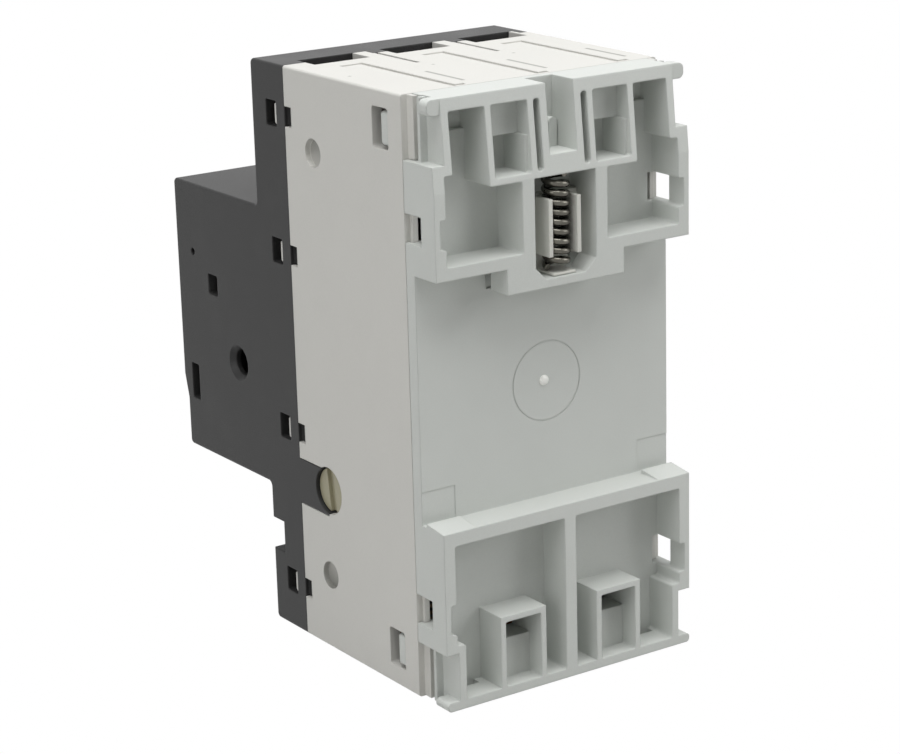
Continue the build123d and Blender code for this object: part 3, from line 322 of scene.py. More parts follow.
    def make_drawn(self) -> bpy.types.NodeTree:
        """Builds the metal surface: uneven oxide tone, fine drawing lines and softened edges."""
        tree, given, out = open_group(
            "drawn_metal_surface",
            [("Colour", Socket.COLOUR, (0.6, 0.6, 0.6, 1.0)),
             ("Stain", Socket.COLOUR, (0.2, 0.15, 0.1, 1.0)),
             ("Stain Share", Socket.NUMBER, 0.3), ("Roughness", Socket.NUMBER, 0.3),
             ("Line Scale", Socket.NUMBER, 1500.0), ("Edge", Socket.NUMBER, 0.0001)],
            [("Colour", Socket.COLOUR), ("Roughness", Socket.NUMBER), ("Normal", Socket.VECTOR)])
        place = tree.add("ShaderNodeTexCoord").outputs["Object"]
        stain = tree.add("ShaderNodeTexNoise")
        tree.feed(stain, "Vector", place)
        tree.feed(stain, "Scale", self.stain_per_metre)
        tree.feed(stain, "Detail", self.stain_detail)
        stretch = tree.add("ShaderNodeMapping")
        tree.feed(stretch, "Vector", place)
        tree.feed(stretch, "Scale", self.line_squeeze)
        lines = tree.add("ShaderNodeTexNoise")
        tree.feed(lines, "Vector", stretch.outputs[0])
        tree.feed(lines, "Scale", given.outputs["Line Scale"])
        share = tree.maths("MULTIPLY", stain.outputs["Fac"], given.outputs["Stain Share"])
        colour = tree.tone(share, given.outputs["Colour"], given.outputs["Stain"])
        rough = tree.maths("ADD", given.outputs["Roughness"],
                           tree.maths("MULTIPLY", share, self.stain_roughness))
        normal = self.softened(tree, given.outputs["Edge"], lines.outputs["Fac"], self.line_depth)
        tree.feed(out, "Colour", colour)
        tree.feed(out, "Roughness", rough)
        tree.feed(out, "Normal", normal)
        return tree.tree


class Finish:
    """What every finish can do: build its material around a shared surface group."""

    name: str

    @staticmethod
    def principled(name: str) -> tuple[bpy.types.Material, Tree, bpy.types.Node]:
        """Makes a material with an empty Principled BSDF.

        Args:
            name: The material's name.

        Returns:
            The material, its tree's helper and the Principled node.
        """
        material = bpy.data.materials.new(name)
        material.use_nodes = True
        material.node_tree.nodes.clear()
        tree = Tree(material.node_tree)
        shader = tree.add("ShaderNodeBsdfPrincipled")
        out = tree.add("ShaderNodeOutputMaterial")
        tree.feed(out, "Surface", shader.outputs[0])
        return material, tree, shader

    @staticmethod
    def surface(tree: Tree, shader: bpy.types.Node, group: bpy.types.NodeTree,
                values: dict[str, object]) -> None:
        """Places a surface group and leads its outputs to the shader.

        Args:
            tree: The material's tree.
            shader: The Principled node.
            group: The surface group.
            values: The group's input values.
        """
        node = tree.add("ShaderNodeGroup", node_tree=group)
        for label, value in values.items():
            tree.feed(node, label, value)
        tree.feed(shader, "Base Color", node.outputs["Colour"])
        tree.feed(shader, "Roughness", node.outputs["Roughness"])
        tree.feed(shader, "Normal", node.outputs["Normal"])

    def build(self, groups: SurfaceGroups) -> bpy.types.Material:
        """Builds the material."""
        raise NotImplementedError


@dataclass(frozen=True)
class MouldedPlastic(Finish):
    """Moulded plastic with a fine eroded grain."""

    name: str
    colour: Colour
    roughness: float = 0.45
    cloud: float = 0.05
    grain_per_metre: float = 4500.0
    grain_depth: float = 0.000012
    edge: float = 0.00022
    gloss: float = 0.45

    def tint(self, tree: Tree, groups: SurfaceGroups) -> object:
        """Returns the colour that the surface group starts from."""
        return (*self.colour, 1.0)

    def build(self, groups: SurfaceGroups) -> bpy.types.Material:
        """Builds the plastic's material from the moulded surface group."""
        material, tree, shader = self.principled(self.name)
        self.surface(tree, shader, groups.moulded, {
            "Colour": self.tint(tree, groups), "Cloud": self.cloud, "Roughness": self.roughness,
            "Grain Scale": self.grain_per_metre, "Grain Depth": self.grain_depth,
            "Edge": self.edge})
        tree.feed(shader, "Specular IOR Level", self.gloss)
        return material


@dataclass(frozen=True)
class HousingPlastic(MouldedPlastic):
    """The housing's plastic with painted shade in its top grooves and dots and in its side dimples,
    one set for each pole.
    """

    # Colour of the painted shade in the grooves, dots and dimples.
    shade: Colour = from_screen(118, 118, 112)
    line_place: tuple[float, float] = (-5.0 * MM, -10.4 * MM)
    line_reach: float = 4.9 * MM
    line_half: float = 0.45 * MM
    dot_place: tuple[float, float] = (5.4 * MM, -19.4 * MM)
    dot_half: float = 0.4 * MM
    dimple_place: tuple[float, float] = (-26.2 * MM, 32.95 * MM)
    dimple_radius: float = 2.13 * MM

    def tint(self, tree: Tree, groups: SurfaceGroups) -> object:
        """Returns the plastic's colour, darker where shade is painted in the grooves, dots and
        dimples.
        """
        painted_shade = tree.add("ShaderNodeGroup", node_tree=groups.painted_shade)
        places = {
            "Line X": self.line_place[0], "Line Y": self.line_place[1],
            "Line Reach": self.line_reach, "Line Half": self.line_half,
            "Dot X": self.dot_place[0], "Dot Y": self.dot_place[1], "Dot Half": self.dot_half,
            "Dimple Y": self.dimple_place[0], "Dimple Z": self.dimple_place[1],
            "Dimple Radius": self.dimple_radius}
        for label, value in places.items():
            tree.feed(painted_shade, label, value)
        return tree.tone(painted_shade.outputs["Shade"], (*self.colour, 1.0), (*self.shade, 1.0))


@dataclass(frozen=True)
class DrawnMetal(Finish):
    """Drawn or stamped metal with a stained surface."""

    name: str
    colour: Colour
    stain: Colour
    stain_share: float = 0.4
    roughness: float = 0.3
    line_per_metre: float = 1500.0
    edge: float = 0.0001

    def build(self, groups: SurfaceGroups) -> bpy.types.Material:
        """Builds the metal's material from the drawn metal surface group."""
        material, tree, shader = self.principled(self.name)
        self.surface(tree, shader, groups.drawn, {
            "Colour": (*self.colour, 1.0), "Stain": (*self.stain, 1.0),
            "Stain Share": self.stain_share, "Roughness": self.roughness,
            "Line Scale": self.line_per_metre, "Edge": self.edge})
        tree.feed(shader, "Metallic", 1.0)
        return material


@dataclass(frozen=True)
class WoundWire(Finish):
    """Enamelled wire laid turn by turn along one axis, with painted shade in the gaps between
    turns.
    """

    name: str
    colour: Colour
    # Colour of the painted shade in the gaps between turns.
    painted_gap_shade: Colour
    turns_per_metre: float = 900.0
    turns_per_wave: float = 3.1
    unevenness: float = 0.4
    groove_roughness: float = 0.5
    crown_polish: float = 0.2
    relief: float = 0.0001
    edge: float = 0.0001
    direction: str = "Y"

    def build(self, groups: SurfaceGroups) -> bpy.types.Material:
        """Builds the winding's material: bands for the turns with painted shade between them, over
        softened edges.
        """
        material, tree, shader = self.principled(self.name)
        place = tree.add("ShaderNodeTexCoord").outputs["Object"]
        bands = tree.add("ShaderNodeTexWave", bands_direction=self.direction)
        tree.feed(bands, "Vector", place)
        tree.feed(bands, "Scale", self.turns_per_metre / self.turns_per_wave)
        tree.feed(bands, "Distortion", self.unevenness)
        crown = bands.outputs["Fac"]
        # Painted shade in the gaps between turns, the wire's own colour on the crowns.
        tree.feed(shader, "Base Color", tree.tone(crown, (*self.painted_gap_shade, 1.0), (*self.colour, 1.0)))
        polish = tree.maths("MULTIPLY", crown, self.crown_polish)
        tree.feed(shader, "Roughness", tree.maths("SUBTRACT", self.groove_roughness, polish))
        tree.feed(shader, "Normal", groups.softened(tree, self.edge, crown, self.relief))
        return material


DARK_COVER = MouldedPlastic("dark_cover_plastic", from_screen(47, 47, 47), roughness=0.42,
                            cloud=0.03, grain_per_metre=5200.0, grain_depth=0.00003, edge=0.0003,
                            gloss=0.2)
GREY_HOUSING = HousingPlastic("grey_housing_plastic", from_screen(208, 207, 202), roughness=0.44)
GREY_BASE = MouldedPlastic("grey_base_plastic", from_screen(202, 205, 201), roughness=0.46,
                           edge=0.0003)
GREY_CATCH = MouldedPlastic("grey_catch_plastic", from_screen(209, 209, 202), roughness=0.4,
                            edge=0.00025)
GATE_STUB = MouldedPlastic("gate_stub_plastic", from_screen(243, 243, 238), roughness=0.3,
                           edge=0.0001)
CREAM_PART = MouldedPlastic("cream_plastic", from_screen(162, 157, 132), roughness=0.4,
                            edge=0.00025)
BLACK_KNOB = MouldedPlastic("black_knob_plastic", from_screen(34, 34, 35), roughness=0.33,
                            cloud=0.02, grain_depth=0.00001, edge=0.0004, gloss=0.5)
WHITE_PRINT = MouldedPlastic("white_print", from_screen(238, 238, 234), roughness=0.5, cloud=0.03,
                             grain_depth=0.000004, edge=0.00002)
DARK_PRINT = MouldedPlastic("dark_print", from_screen(38, 38, 38), roughness=0.5, cloud=0.03,
                            grain_depth=0.000004, edge=0.00002)
ARC_FIBRE = MouldedPlastic("arc_chute_fibre", from_screen(190, 186, 170), roughness=0.6, cloud=0.15,
                           grain_per_metre=2500.0, grain_depth=0.00004)
SPRING_WIRE = DrawnMetal("dark_spring_wire", from_screen(122, 120, 112), from_screen(36, 34, 30),
                         stain_share=0.8, roughness=0.14, line_per_metre=900.0, edge=0.00005)
ZINC_STEEL = DrawnMetal("zinc_plated_steel", from_screen(206, 206, 204), from_screen(150, 148, 140),
                        roughness=0.28)
COPPER = DrawnMetal("stamped_copper", from_screen(214, 150, 112), from_screen(128, 84, 60),
                    roughness=0.34)
COIL_WIRE = WoundWire("coil_winding", from_screen(176, 96, 48), from_screen(58, 26, 14))
HEATER_WIRE = WoundWire("heater_winding", from_screen(150, 120, 84), from_screen(48, 38, 28),
                        direction="Z")

NODE_FINISHES: dict[Finish, tuple[str, ...]] = {
    DARK_COVER: ("front_cover",),
    GREY_HOUSING: ("mid_housing",),
    GREY_BASE: ("rear_base",),
    GREY_CATCH: ("rail_slider",),
    BLACK_KNOB: ("rotary_knob",),
    CREAM_PART: ("coupling_disc", "switch_shaft", "setting_dial", "dial_cam", "test_slider",
                 "drive_cam", "contact_carrier", "trip_bar"),
    ARC_FIBRE: ("arc_chute_left", "arc_chute_centre", "arc_chute_right"),
    SPRING_WIRE: ("rail_spring", "contact_springs"),
    ZINC_STEEL: ("knob_spindle", "line_clamp_plates", "load_clamp_plates", "line_terminal_screws",
                 "load_terminal_screws", "magnet_yokes", "bimetal_strips", "latch_lever",
                 "latch_pin", "mechanism_frame", "plunger_left", "plunger_centre",
                 "plunger_right"),
    COPPER: ("line_terminal_bars", "load_contact_bars", "load_terminal_bars", "contact_bridge_left",
             "contact_bridge_centre", "contact_bridge_right"),
    COIL_WIRE: ("trip_coil_left", "trip_coil_centre", "trip_coil_right"),
    HEATER_WIRE: ("heater_windings",),
}


class FinishShop:
    """Builds each finish once and puts it on nodes and pieces."""

    def __init__(self) -> None:
        """Builds the shared surface groups."""
        self.groups = SurfaceGroups()
        self.built: dict[Finish, bpy.types.Material] = {}

    def material(self, finish: Finish) -> bpy.types.Material:
        """Returns the finish's material, built on first use."""
        if finish not in self.built:
            self.built[finish] = finish.build(self.groups)
        return self.built[finish]

    def dress(self, piece: bpy.types.Object, finish: Finish) -> None:
        """Gives the piece the finish as its only material."""
        piece.data.materials.clear()
        piece.data.materials.append(self.material(finish))

    def dress_nodes(self) -> None:
        """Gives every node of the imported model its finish."""
        for finish, names in NODE_FINISHES.items():
            for name in names:
                self.dress(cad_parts[name], finish)
            LOG.info("finish %s on %d nodes", finish.name, len(names))


class GeometryTree(Tree):
    """A Geometry Nodes tree with named inputs, whose result becomes a plain mesh."""

    def __init__(self, name: str, inputs: dict[str, float]) -> None:
        """Starts the tree.

        Args:
            name: The tree's name, also used for the piece.
            inputs: Name and starting value of each size.
        """
        super().__init__(bpy.data.node_groups.new(name, "GeometryNodeTree"))
        self.name = name
        self.tree.interface.new_socket(name="Geometry", in_out="OUTPUT",
                                       socket_type="NodeSocketGeometry")
        self.identifiers: dict[str, str] = {}
        for label, value in inputs.items():
            kind = "NodeSocketInt" if isinstance(value, int) else "NodeSocketFloat"
            socket = self.tree.interface.new_socket(name=label, in_out="INPUT", socket_type=kind)
            socket.default_value = value
            self.identifiers[label] = socket.identifier
        self.given = self.add("NodeGroupInput")
        self.values = inputs

    def close(self, geometry: bpy.types.NodeSocket, material: bpy.types.Material) -> None:
        """Ends the tree in Realize Instances and Set Material."""
        realize = self.add("GeometryNodeRealizeInstances")
        self.feed(realize, "Geometry", geometry)
        dress = self.add("GeometryNodeSetMaterial")
        self.feed(dress, "Geometry", realize.outputs[0])
        self.feed(dress, "Material", material)
        out = self.add("NodeGroupOutput")
        self.feed(out, 0, dress.outputs[0])

    def to_piece(self) -> bpy.types.Object:
        """Evaluates the tree on an empty mesh and returns the result as a plain object."""
        start = bpy.data.meshes.new(self.name + "_start")
        holder = bpy.data.objects.new(self.name + "_holder", start)
        bpy.context.scene.collection.objects.link(holder)
        modifier = holder.modifiers.new("nodes", "NODES")
        modifier.node_group = self.tree
        for label, identifier in self.identifiers.items():
            modifier[identifier] = self.values[label]
        graph = bpy.context.evaluated_depsgraph_get()
        mesh = bpy.data.meshes.new_from_object(holder.evaluated_get(graph), depsgraph=graph)
        holder.modifiers.remove(modifier)
        bpy.data.objects.remove(holder)
        mesh.name = self.name
        piece = bpy.data.objects.new(self.name, mesh)
        bpy.context.scene.collection.objects.link(piece)
        return piece


def mesh_piece(name: str, points: Sequence[Vector],
               faces: Sequence[Sequence[int]]) -> bpy.types.Object:
    """Makes an object from points and faces.

    Args:
        name: The piece's name.
        points: Corner points in the shared frame.
        faces: Corner indices of each face, seen anticlockwise from outside.

    Returns:
        The linked object.
    """
    mesh = bpy.data.meshes.new(name)
    mesh.from_pydata([tuple(point) for point in points], [], [list(face) for face in faces])
    mesh.validate()
    piece = bpy.data.objects.new(name, mesh)
    bpy.context.scene.collection.objects.link(piece)
    return piece


def turned_along_y(name: str, centre: Vector, profile: Sequence[tuple[float, float]],
                   steps: int) -> bpy.types.Object:
    """Turns a profile round an axis along Y into a closed solid.

    Args:
        name: The piece's name.
        centre: A point on the axis; the profile's depths count from its Y.
        profile: Radius and depth of each ring, from the +Y pole to the -Y pole.
        steps: Points round each ring.

    Returns:
        The linked object.
    """
    points = [centre + Vector((radius * math.cos(2 * math.pi * step / steps), depth,
                               radius * math.sin(2 * math.pi * step / steps)))
              for radius, depth in profile for step in range(steps)]
    faces: list[list[int]] = [list(range(steps))[::-1]]
    for ring in range(len(profile) - 1):
        for step in range(steps):
            after = (step + 1) % steps
            low, high = ring * steps, (ring + 1) * steps
            faces.append([low + step, low + after, high + after, high + step])
    faces.append([(len(profile) - 1) * steps + step for step in range(steps)])
    return mesh_piece(name, points, faces)


@dataclass
class RailCatch:
    """The coil spring over the sliding catch in the rear base."""

    shop: FinishShop
    wire_radius: float = 0.5 * MM
    turns: float = 9.5
    slack: float = 0.15 * MM
    joint: str = "rail_slide"
    ring_points: int = 14
    points_per_turn: int = 36

    def build(self) -> None:
        """Builds the spring in the place of the node."""
        low, high = (Vector(corner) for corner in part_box("rail_spring"))
        centre = (low + high) / 2
        radius = (high.x - low.x) / 2 + self.slack - self.wire_radius
        height = high.z - low.z - 2 * self.wire_radius
        tree = GeometryTree("rail_coil_spring", {
            "Coil Radius": radius, "Wire Radius": self.wire_radius, "Height": height,
            "Turns": self.turns, "Points": int(self.points_per_turn * self.turns),
            "Centre X": centre.x, "Centre Y": centre.y, "Bottom Z": low.z + self.wire_radius})
        coil = tree.add("GeometryNodeCurveSpiral")
        for label, source in (("Resolution", "Points"), ("Rotations", "Turns"),
                              ("Start Radius", "Coil Radius"), ("End Radius", "Coil Radius"),
                              ("Height", "Height")):
            tree.feed(coil, label, tree.given.outputs[source])
        ring = tree.add("GeometryNodeCurvePrimitiveCircle")
        tree.feed(ring, "Resolution", self.ring_points)
        tree.feed(ring, "Radius", tree.given.outputs["Wire Radius"])
        wire = tree.add("GeometryNodeCurveToMesh")
        tree.feed(wire, "Curve", coil.outputs[0])
        tree.feed(wire, "Profile Curve", ring.outputs[0])
        tree.feed(wire, "Fill Caps", True)
        smooth = tree.add("GeometryNodeSetShadeSmooth")
        tree.feed(smooth, "Geometry", wire.outputs[0])
        place = tree.add("ShaderNodeCombineXYZ")
        for label, source in (("X", "Centre X"), ("Y", "Centre Y"), ("Z", "Bottom Z")):
            tree.feed(place, label, tree.given.outputs[source])
        move = tree.add("GeometryNodeTransform")
        tree.feed(move, "Geometry", smooth.outputs[0])
        tree.feed(move, "Translation", place.outputs[0])
        tree.close(move.outputs[0], self.shop.material(SPRING_WIRE))
        spring = tree.to_piece()
        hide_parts("rail_spring")
        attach(spring, "housing")
        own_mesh(spring)
        LOG.info("rail spring: %.1f turns", self.turns)


@dataclass
class HookFaces:
    """Rounded faces of the hooks that show in the side windows."""

    shop: FinishShop
    reach: float = 22.3 * MM
    depth: float = 1.4 * MM
    corner: float = 0.5 * MM
    base_y: tuple[float, float] = (-7.95 * MM, -5.8 * MM)
    base_rows: tuple[float, ...] = (39.5 * MM, -39.1 * MM)
    base_half: float = 2.45 * MM
    pinch: float = 0.9
    steps: int = 6
    edge_steps: int = 4

    def face(self, name: str, side: int, row: float) -> bpy.types.Object:
        """Makes one hook face: a block with rounded corners and a rounded outer edge.

        Args:
            name: The piece's name.
            side: One for +X, minus one for -X.
            row: Height of its middle.

        Returns:
            The linked object.
        """
        half_y = (self.base_y[1] - self.base_y[0]) / 2
        middle_y = (self.base_y[1] + self.base_y[0]) / 2
        rounding = [(index + 1) / self.edge_steps * math.pi / 2 for index in range(self.edge_steps)]
        loops = [(self.reach - self.depth, 0.0), (self.reach - self.corner, 0.0)]
        loops += [(self.reach - self.corner * (1 - math.sin(angle)),
                   self.corner * (1 - math.cos(angle))) for angle in rounding]
        points: list[Vector] = []
        for x, inset in loops:
            for quarter, (turn_y, turn_z) in enumerate(((1, 1), (-1, 1), (-1, -1), (1, -1))):
                for step in range(self.steps):
                    angle = (quarter + step / (self.steps - 1)) * math.pi / 2
                    radius = self.corner - inset * self.pinch
                    points.append(Vector((
                        side * x,
                        middle_y + turn_y * (half_y - self.corner) + radius * math.cos(angle),
                        row + turn_z * (self.base_half - self.corner) + radius * math.sin(angle))))
        count = 4 * self.steps
        last = (len(loops) - 1) * count
        faces: list[list[int]] = [list(range(count))[::-1], list(range(last, last + count))]
        for ring in range(len(loops) - 1):
            for step in range(count):
                after = (step + 1) % count
                low, high = ring * count, (ring + 1) * count
                faces.append([low + step, low + after, high + after, high + step])
        if side < 0:
            faces = [face[::-1] for face in faces]
        return mesh_piece(name, points, faces)

    def build(self) -> None:
        """Builds the hook faces of both sides."""
        for side, hand in ((1, "left"), (-1, "right")):
            for row, level in zip(self.base_rows, ("upper", "lower")):
                hook = self.face(f"{level}_hook_face_{hand}", side, row)
                hook.data.shade_smooth()
                self.shop.dress(hook, GREY_BASE)
                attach(hook, "housing")
        LOG.info("hook faces in the side windows")


@dataclass
class RailFaceMarks:
    """The moulding gate in the middle of the round mark on the rail face."""

    shop: FinishShop
    gate_radius: float = 0.8 * MM
    gate_height: float = 0.45 * MM
    gate_place: tuple[float, float, float] = (0.45 * MM, 0.0, 0.2 * MM)
    gate_sink: float = 0.05 * MM
    tip_angle: float = 0.12
    dome_steps: int = 4
    steps: int = 28

    def build(self) -> None:
        """Builds the gate's low dome on the face."""
        quarter = [index / self.dome_steps * math.pi / 2 for index in range(self.dome_steps)]
        profile = [(self.gate_radius * math.sin(max(angle, self.tip_angle)),
                    self.gate_height * math.cos(angle)) for angle in quarter]
        profile += [(self.gate_radius, 0.0), (self.gate_radius, -self.gate_sink)]
        gate = turned_along_y("rail_face_gate", Vector(self.gate_place), profile, self.steps)
        gate.data.shade_smooth()
        self.shop.dress(gate, GATE_STUB)
        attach(gate, "housing")
        LOG.info("gate mark on the rail face")


@dataclass
class FrontPrint:
    """Printed O and I beside the knob, its pointer, and the ticks of the setting dial."""

    shop: FinishShop
    film: float = 0.03 * MM
    line: float = 0.5 * MM
    letter: float = 3.0 * MM
    margin: float = 1.1 * MM
    ring_steps: int = 40
    ticks: int = 10
    tick_length: float = 0.7 * MM
    tick_width: float = 0.22 * MM
    tick_place: float = 0.66
    first_tick: float = -45.0
    sweep: float = 270.0
    pointer_place: float = 0.72
    ring_stretch: float = 1.25
    pieces: list[bpy.types.Object] = field(default_factory=list)

    def plate(self, name: str, centre: Vector, size: tuple[float, float]) -> bpy.types.Object:
        """Makes a thin plate of print on a face that looks to -Y.

        Args:
            name: The piece's name.
            centre: Middle of the plate, on the face.
            size: Width along X and height along Z.

        Returns:
            The linked object.
        """
        half_x, half_z = size[0] / 2, size[1] / 2
        corners = [(-half_x, -half_z), (half_x, -half_z), (half_x, half_z), (-half_x, half_z)]
        points = [centre + Vector((x, depth, z)) for depth in (-self.film, self.film / 2)
                  for x, z in corners]
        faces = [(0, 1, 2, 3), (7, 6, 5, 4), (0, 4, 5, 1), (1, 5, 6, 2), (2, 6, 7, 3), (3, 7, 4, 0)]
        return mesh_piece(name, points, faces)

    def ring(self, name: str, centre: Vector, radius: float) -> bpy.types.Object:
        """Makes a thin printed ring on a face that looks to -Y.

        Args:
            name: The piece's name.
            centre: Middle of the ring, on the face.
            radius: Outer radius.

        Returns:
            The linked object.
        """
        loops = [(radius, -self.film), (radius, self.film / 2), (radius - self.line, self.film / 2),
                 (radius - self.line, -self.film)]
        angles = [2 * math.pi * step / self.ring_steps for step in range(self.ring_steps)]
        points = [centre + Vector((reach * math.cos(angle), depth,
                                   self.ring_stretch * reach * math.sin(angle)))
                  for reach, depth in loops for angle in angles]
        faces = []
        for index in range(4):
            for step in range(self.ring_steps):
                after = (step + 1) % self.ring_steps
                low, high = index * self.ring_steps, (index + 1) % 4 * self.ring_steps
                faces.append([high + step, high + after, low + after, low + step])
        return mesh_piece(name, points, faces)

    def dial_ticks(self, centre: Vector, radius: float) -> bpy.types.Object:
        """Makes the ticks round the dial's face with Geometry Nodes.

        Args:
            centre: Middle of the dial's face.
            radius: Radius at which the ticks stand.

        Returns:
            The linked object.
        """
        tree = GeometryTree("dial_ticks", {
            "Count": self.ticks, "Radius": radius, "Start": math.radians(self.first_tick),
            "Sweep": math.radians(self.sweep), "Length": self.tick_length, "Width": self.tick_width,
            "Film": self.film, "Centre X": centre.x, "Centre Y": centre.y, "Centre Z": centre.z})
        arc = tree.add("GeometryNodeCurveArc")
        tree.feed(arc, "Resolution", tree.given.outputs["Count"])
        tree.feed(arc, "Radius", tree.given.outputs["Radius"])
        tree.feed(arc, "Start Angle", tree.given.outputs["Start"])
        tree.feed(arc, "Sweep Angle", tree.given.outputs["Sweep"])
        size = tree.add("ShaderNodeCombineXYZ")
        tree.feed(size, "X", tree.given.outputs["Length"])
        tree.feed(size, "Y", tree.given.outputs["Width"])
        tree.feed(size, "Z", tree.given.outputs["Film"])
        tick = tree.add("GeometryNodeMeshCube")
        tree.feed(tick, "Size", size.outputs[0])
        points = tree.add("GeometryNodeCurveToPoints", mode="EVALUATED")
        tree.feed(points, "Curve", arc.outputs[0])
        position = tree.add("GeometryNodeInputPosition")
        turn = tree.add("FunctionNodeAlignEulerToVector", axis="X")
        tree.feed(turn, "Vector", position.outputs[0])
        copies = tree.add("GeometryNodeInstanceOnPoints")
        tree.feed(copies, "Points", points.outputs[0])
        tree.feed(copies, "Instance", tick.outputs[0])
        tree.feed(copies, "Rotation", turn.outputs[0])
        place = tree.add("ShaderNodeCombineXYZ")
        for label, source in (("X", "Centre X"), ("Y", "Centre Y"), ("Z", "Centre Z")):
            tree.feed(place, label, tree.given.outputs[source])
        move = tree.add("GeometryNodeTransform")
        tree.feed(move, "Geometry", copies.outputs[0])
        tree.feed(move, "Translation", place.outputs[0])
        tree.feed(move, "Rotation", (math.pi / 2, 0.0, 0.0))
        tree.close(move.outputs[0], self.shop.material(DARK_PRINT))
        return tree.to_piece()

    def place(self, piece: bpy.types.Object, finish: Finish, body: str, slot: str) -> None:
        """Dresses a printed piece and lets it ride on its body."""
        self.shop.dress(piece, finish)
        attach(piece, body)
        self.pieces.append(piece)

    def build(self) -> None:
        """Builds every printed piece of the front."""
        cover_low, _ = (Vector(corner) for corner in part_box("front_cover"))
        knob_low, knob_high = (Vector(corner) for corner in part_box("rotary_knob"))
        dial_low, dial_high = (Vector(corner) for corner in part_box("setting_dial"))
        knob = (knob_low + knob_high) / 2
        radius = (knob_high.x - knob_low.x) / 2
        side = Vector((knob.x - radius - self.margin - self.letter / 2, cover_low.y, knob.z))
        above = Vector((knob.x, cover_low.y, knob.z + radius + self.margin + self.letter / 2))
        off_sign = self.ring("off_sign", side, self.letter / 2)
        self.place(off_sign, WHITE_PRINT, "housing", "dark_plastic")
        on_sign = self.plate("on_sign", above, (self.line, self.letter))
        self.place(on_sign, WHITE_PRINT, "housing", "dark_plastic")
        grip_end = Vector((knob.x - radius * self.pointer_place, knob_low.y, knob.z))
        pointer = self.plate("knob_pointer", grip_end, (self.letter / 2, self.line))
        self.place(pointer, WHITE_PRINT, "knob", "black_plastic")
        dial = (dial_low + dial_high) / 2
        face = Vector((dial.x, dial_low.y, dial.z))
        face_radius = (dial_high.x - dial_low.x) / 2 * self.tick_place
        self.place(self.dial_ticks(face, face_radius), DARK_PRINT, "dial", "cream_plastic")
        LOG.info("front print: %d pieces", len(self.pieces))


@dataclass(frozen=True)
class Lamp:
    """A square soft lamp: where it hangs, the length of its sides and its power in watts."""

    name: str
    place: tuple[float, float, float]
    size: float
    power: float

    def hang(self, target: Vector) -> None:
        """Adds the lamp, facing the target.

        Args:
            target: The point it faces.
        """
        data = bpy.data.lights.new(self.name, "AREA")
        data.shape = "SQUARE"
        data.size = self.size
        data.energy = self.power
        lamp = bpy.data.objects.new(self.name, data)
        bpy.context.scene.collection.objects.link(lamp)
        place = Vector(self.place)
        turn = (place - target).to_track_quat("Z", "Y").to_matrix().to_4x4()
        lamp.matrix_world = Matrix.Translation(place) @ turn


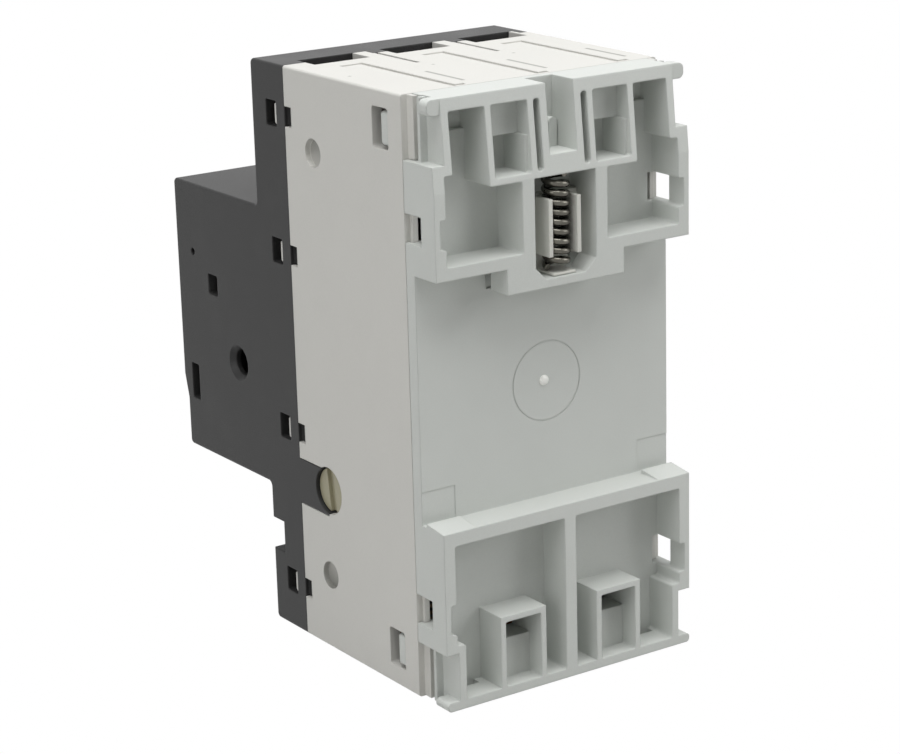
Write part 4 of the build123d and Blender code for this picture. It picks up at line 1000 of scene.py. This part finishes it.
@dataclass
class Studio:
    """Pale floor, white surroundings, soft lamps and the photograph's camera, angles in radians."""

    azimuth: float = 2.550132
    elevation: float = 0.287766
    roll: float = -0.028006
    position_mm: tuple[float, float, float] = (219.485, 301.447, 111.263)
    focal_pixels: float = 2649.17
    picture_width: float = 900.0
    sensor_mm: float = 36.0
    clip: tuple[float, float] = (0.01, 20.0)
    floor_half: float = 3.0
    floor_drop: float = 0.2 * MM
    floor_shade: Colour = (0.5, 0.5, 0.49)
    room_shade: Colour = (0.02, 0.02, 0.021)
    lamps: tuple[Lamp, ...] = (
        Lamp("top_softbox", (0.05, 0.1, 0.75), 0.7, 7.6),
        Lamp("rear_softbox", (-0.65, 0.5, 0.35), 0.5, 2.6),
        Lamp("side_softbox", (0.75, 0.15, 0.25), 0.6, 2.0),
    )

    def camera(self) -> None:
        """Sets the camera at the photograph's viewpoint."""
        data = bpy.data.cameras.new("photo_camera")
        data.sensor_width = self.sensor_mm
        data.lens = self.focal_pixels / self.picture_width * self.sensor_mm
        data.clip_start, data.clip_end = self.clip
        back = Vector((math.sin(self.azimuth) * math.cos(self.elevation),
                       -math.cos(self.azimuth) * math.cos(self.elevation),
                       math.sin(self.elevation)))
        level = Vector((math.cos(self.azimuth), math.sin(self.azimuth), 0.0))
        upright = back.cross(level)
        right = math.cos(self.roll) * level + math.sin(self.roll) * upright
        up = math.cos(self.roll) * upright - math.sin(self.roll) * level
        matrix = Matrix((right, up, back)).transposed().to_4x4()
        matrix.translation = Vector(self.position_mm) * MM
        camera = bpy.data.objects.new("photo_camera", data)
        bpy.context.scene.collection.objects.link(camera)
        camera.matrix_world = matrix
        bpy.context.scene.camera = camera

    @staticmethod
    def seen_ray(tree: Tree) -> bpy.types.NodeSocket:
        """Returns one for camera, glossy and transmission rays, and nought for the others."""
        path = tree.add("ShaderNodeLightPath")
        mirrored = tree.maths("MAXIMUM", path.outputs["Is Glossy Ray"],
                              path.outputs["Is Transmission Ray"])
        return tree.maths("MAXIMUM", path.outputs["Is Camera Ray"], mirrored)

    @staticmethod
    def white_if_seen(tree: Tree, shade: Colour) -> bpy.types.NodeSocket:
        """Mixes white for camera, glossy and transmission rays with a shade for the others."""
        return tree.tone(Studio.seen_ray(tree), (*shade, 1.0), (1.0, 1.0, 1.0, 1.0))

    def surroundings(self) -> None:
        """Sets the world: white where it is seen, soft grey where it lights."""
        world = bpy.data.worlds.new("white_room")
        world.use_nodes = True
        world.node_tree.nodes.clear()
        tree = Tree(world.node_tree)
        glow = tree.add("ShaderNodeBackground")
        tree.feed(glow, "Color", self.white_if_seen(tree, self.room_shade))
        tree.feed(glow, "Strength", 1.0)
        out = tree.add("ShaderNodeOutputWorld")
        tree.feed(out, "Surface", glow.outputs[0])
        bpy.context.scene.world = world

    def floor(self) -> None:
        """Lays the floor under the lowest point, white where it is seen."""
        level = CAD_BOX[0][2] - self.floor_drop
        half = self.floor_half
        corners = [Vector((x, y, level))
                   for x, y in ((-half, -half), (half, -half), (half, half), (-half, half))]
        floor = mesh_piece("studio_floor", corners, [(0, 1, 2, 3)])
        material = bpy.data.materials.new("pale_floor")
        material.use_nodes = True
        material.node_tree.nodes.clear()
        tree = Tree(material.node_tree)
        white = tree.add("ShaderNodeEmission")
        tree.feed(white, "Color", (1.0, 1.0, 1.0, 1.0))
        tree.feed(white, "Strength", 1.0)
        lit = tree.add("ShaderNodeBsdfDiffuse")
        tree.feed(lit, "Color", (*self.floor_shade, 1.0))
        mix = tree.add("ShaderNodeMixShader")
        tree.feed(mix, 0, self.seen_ray(tree))
        tree.feed(mix, 1, lit.outputs[0])
        tree.feed(mix, 2, white.outputs[0])
        out = tree.add("ShaderNodeOutputMaterial")
        tree.feed(out, "Surface", mix.outputs[0])
        floor.data.materials.append(material)

    def build(self) -> None:
        """Builds the studio."""
        self.camera()
        self.surroundings()
        self.floor()
        middle = (Vector(CAD_BOX[0]) + Vector(CAD_BOX[1])) / 2
        for lamp in self.lamps:
            lamp.hang(middle)
        bpy.context.scene.view_settings.view_transform = "Standard"
        LOG.info("studio ready")


def main() -> None:
    """Dresses the model, adds the fine pieces and sets the studio."""
    logging.basicConfig(level=logging.INFO)
    shop = FinishShop()
    shop.dress_nodes()
    for assembly in (RailCatch(shop), HookFaces(shop), RailFaceMarks(shop), FrontPrint(shop)):
        assembly.build()
    Studio().build()


if __name__ == "__main__":
    main()
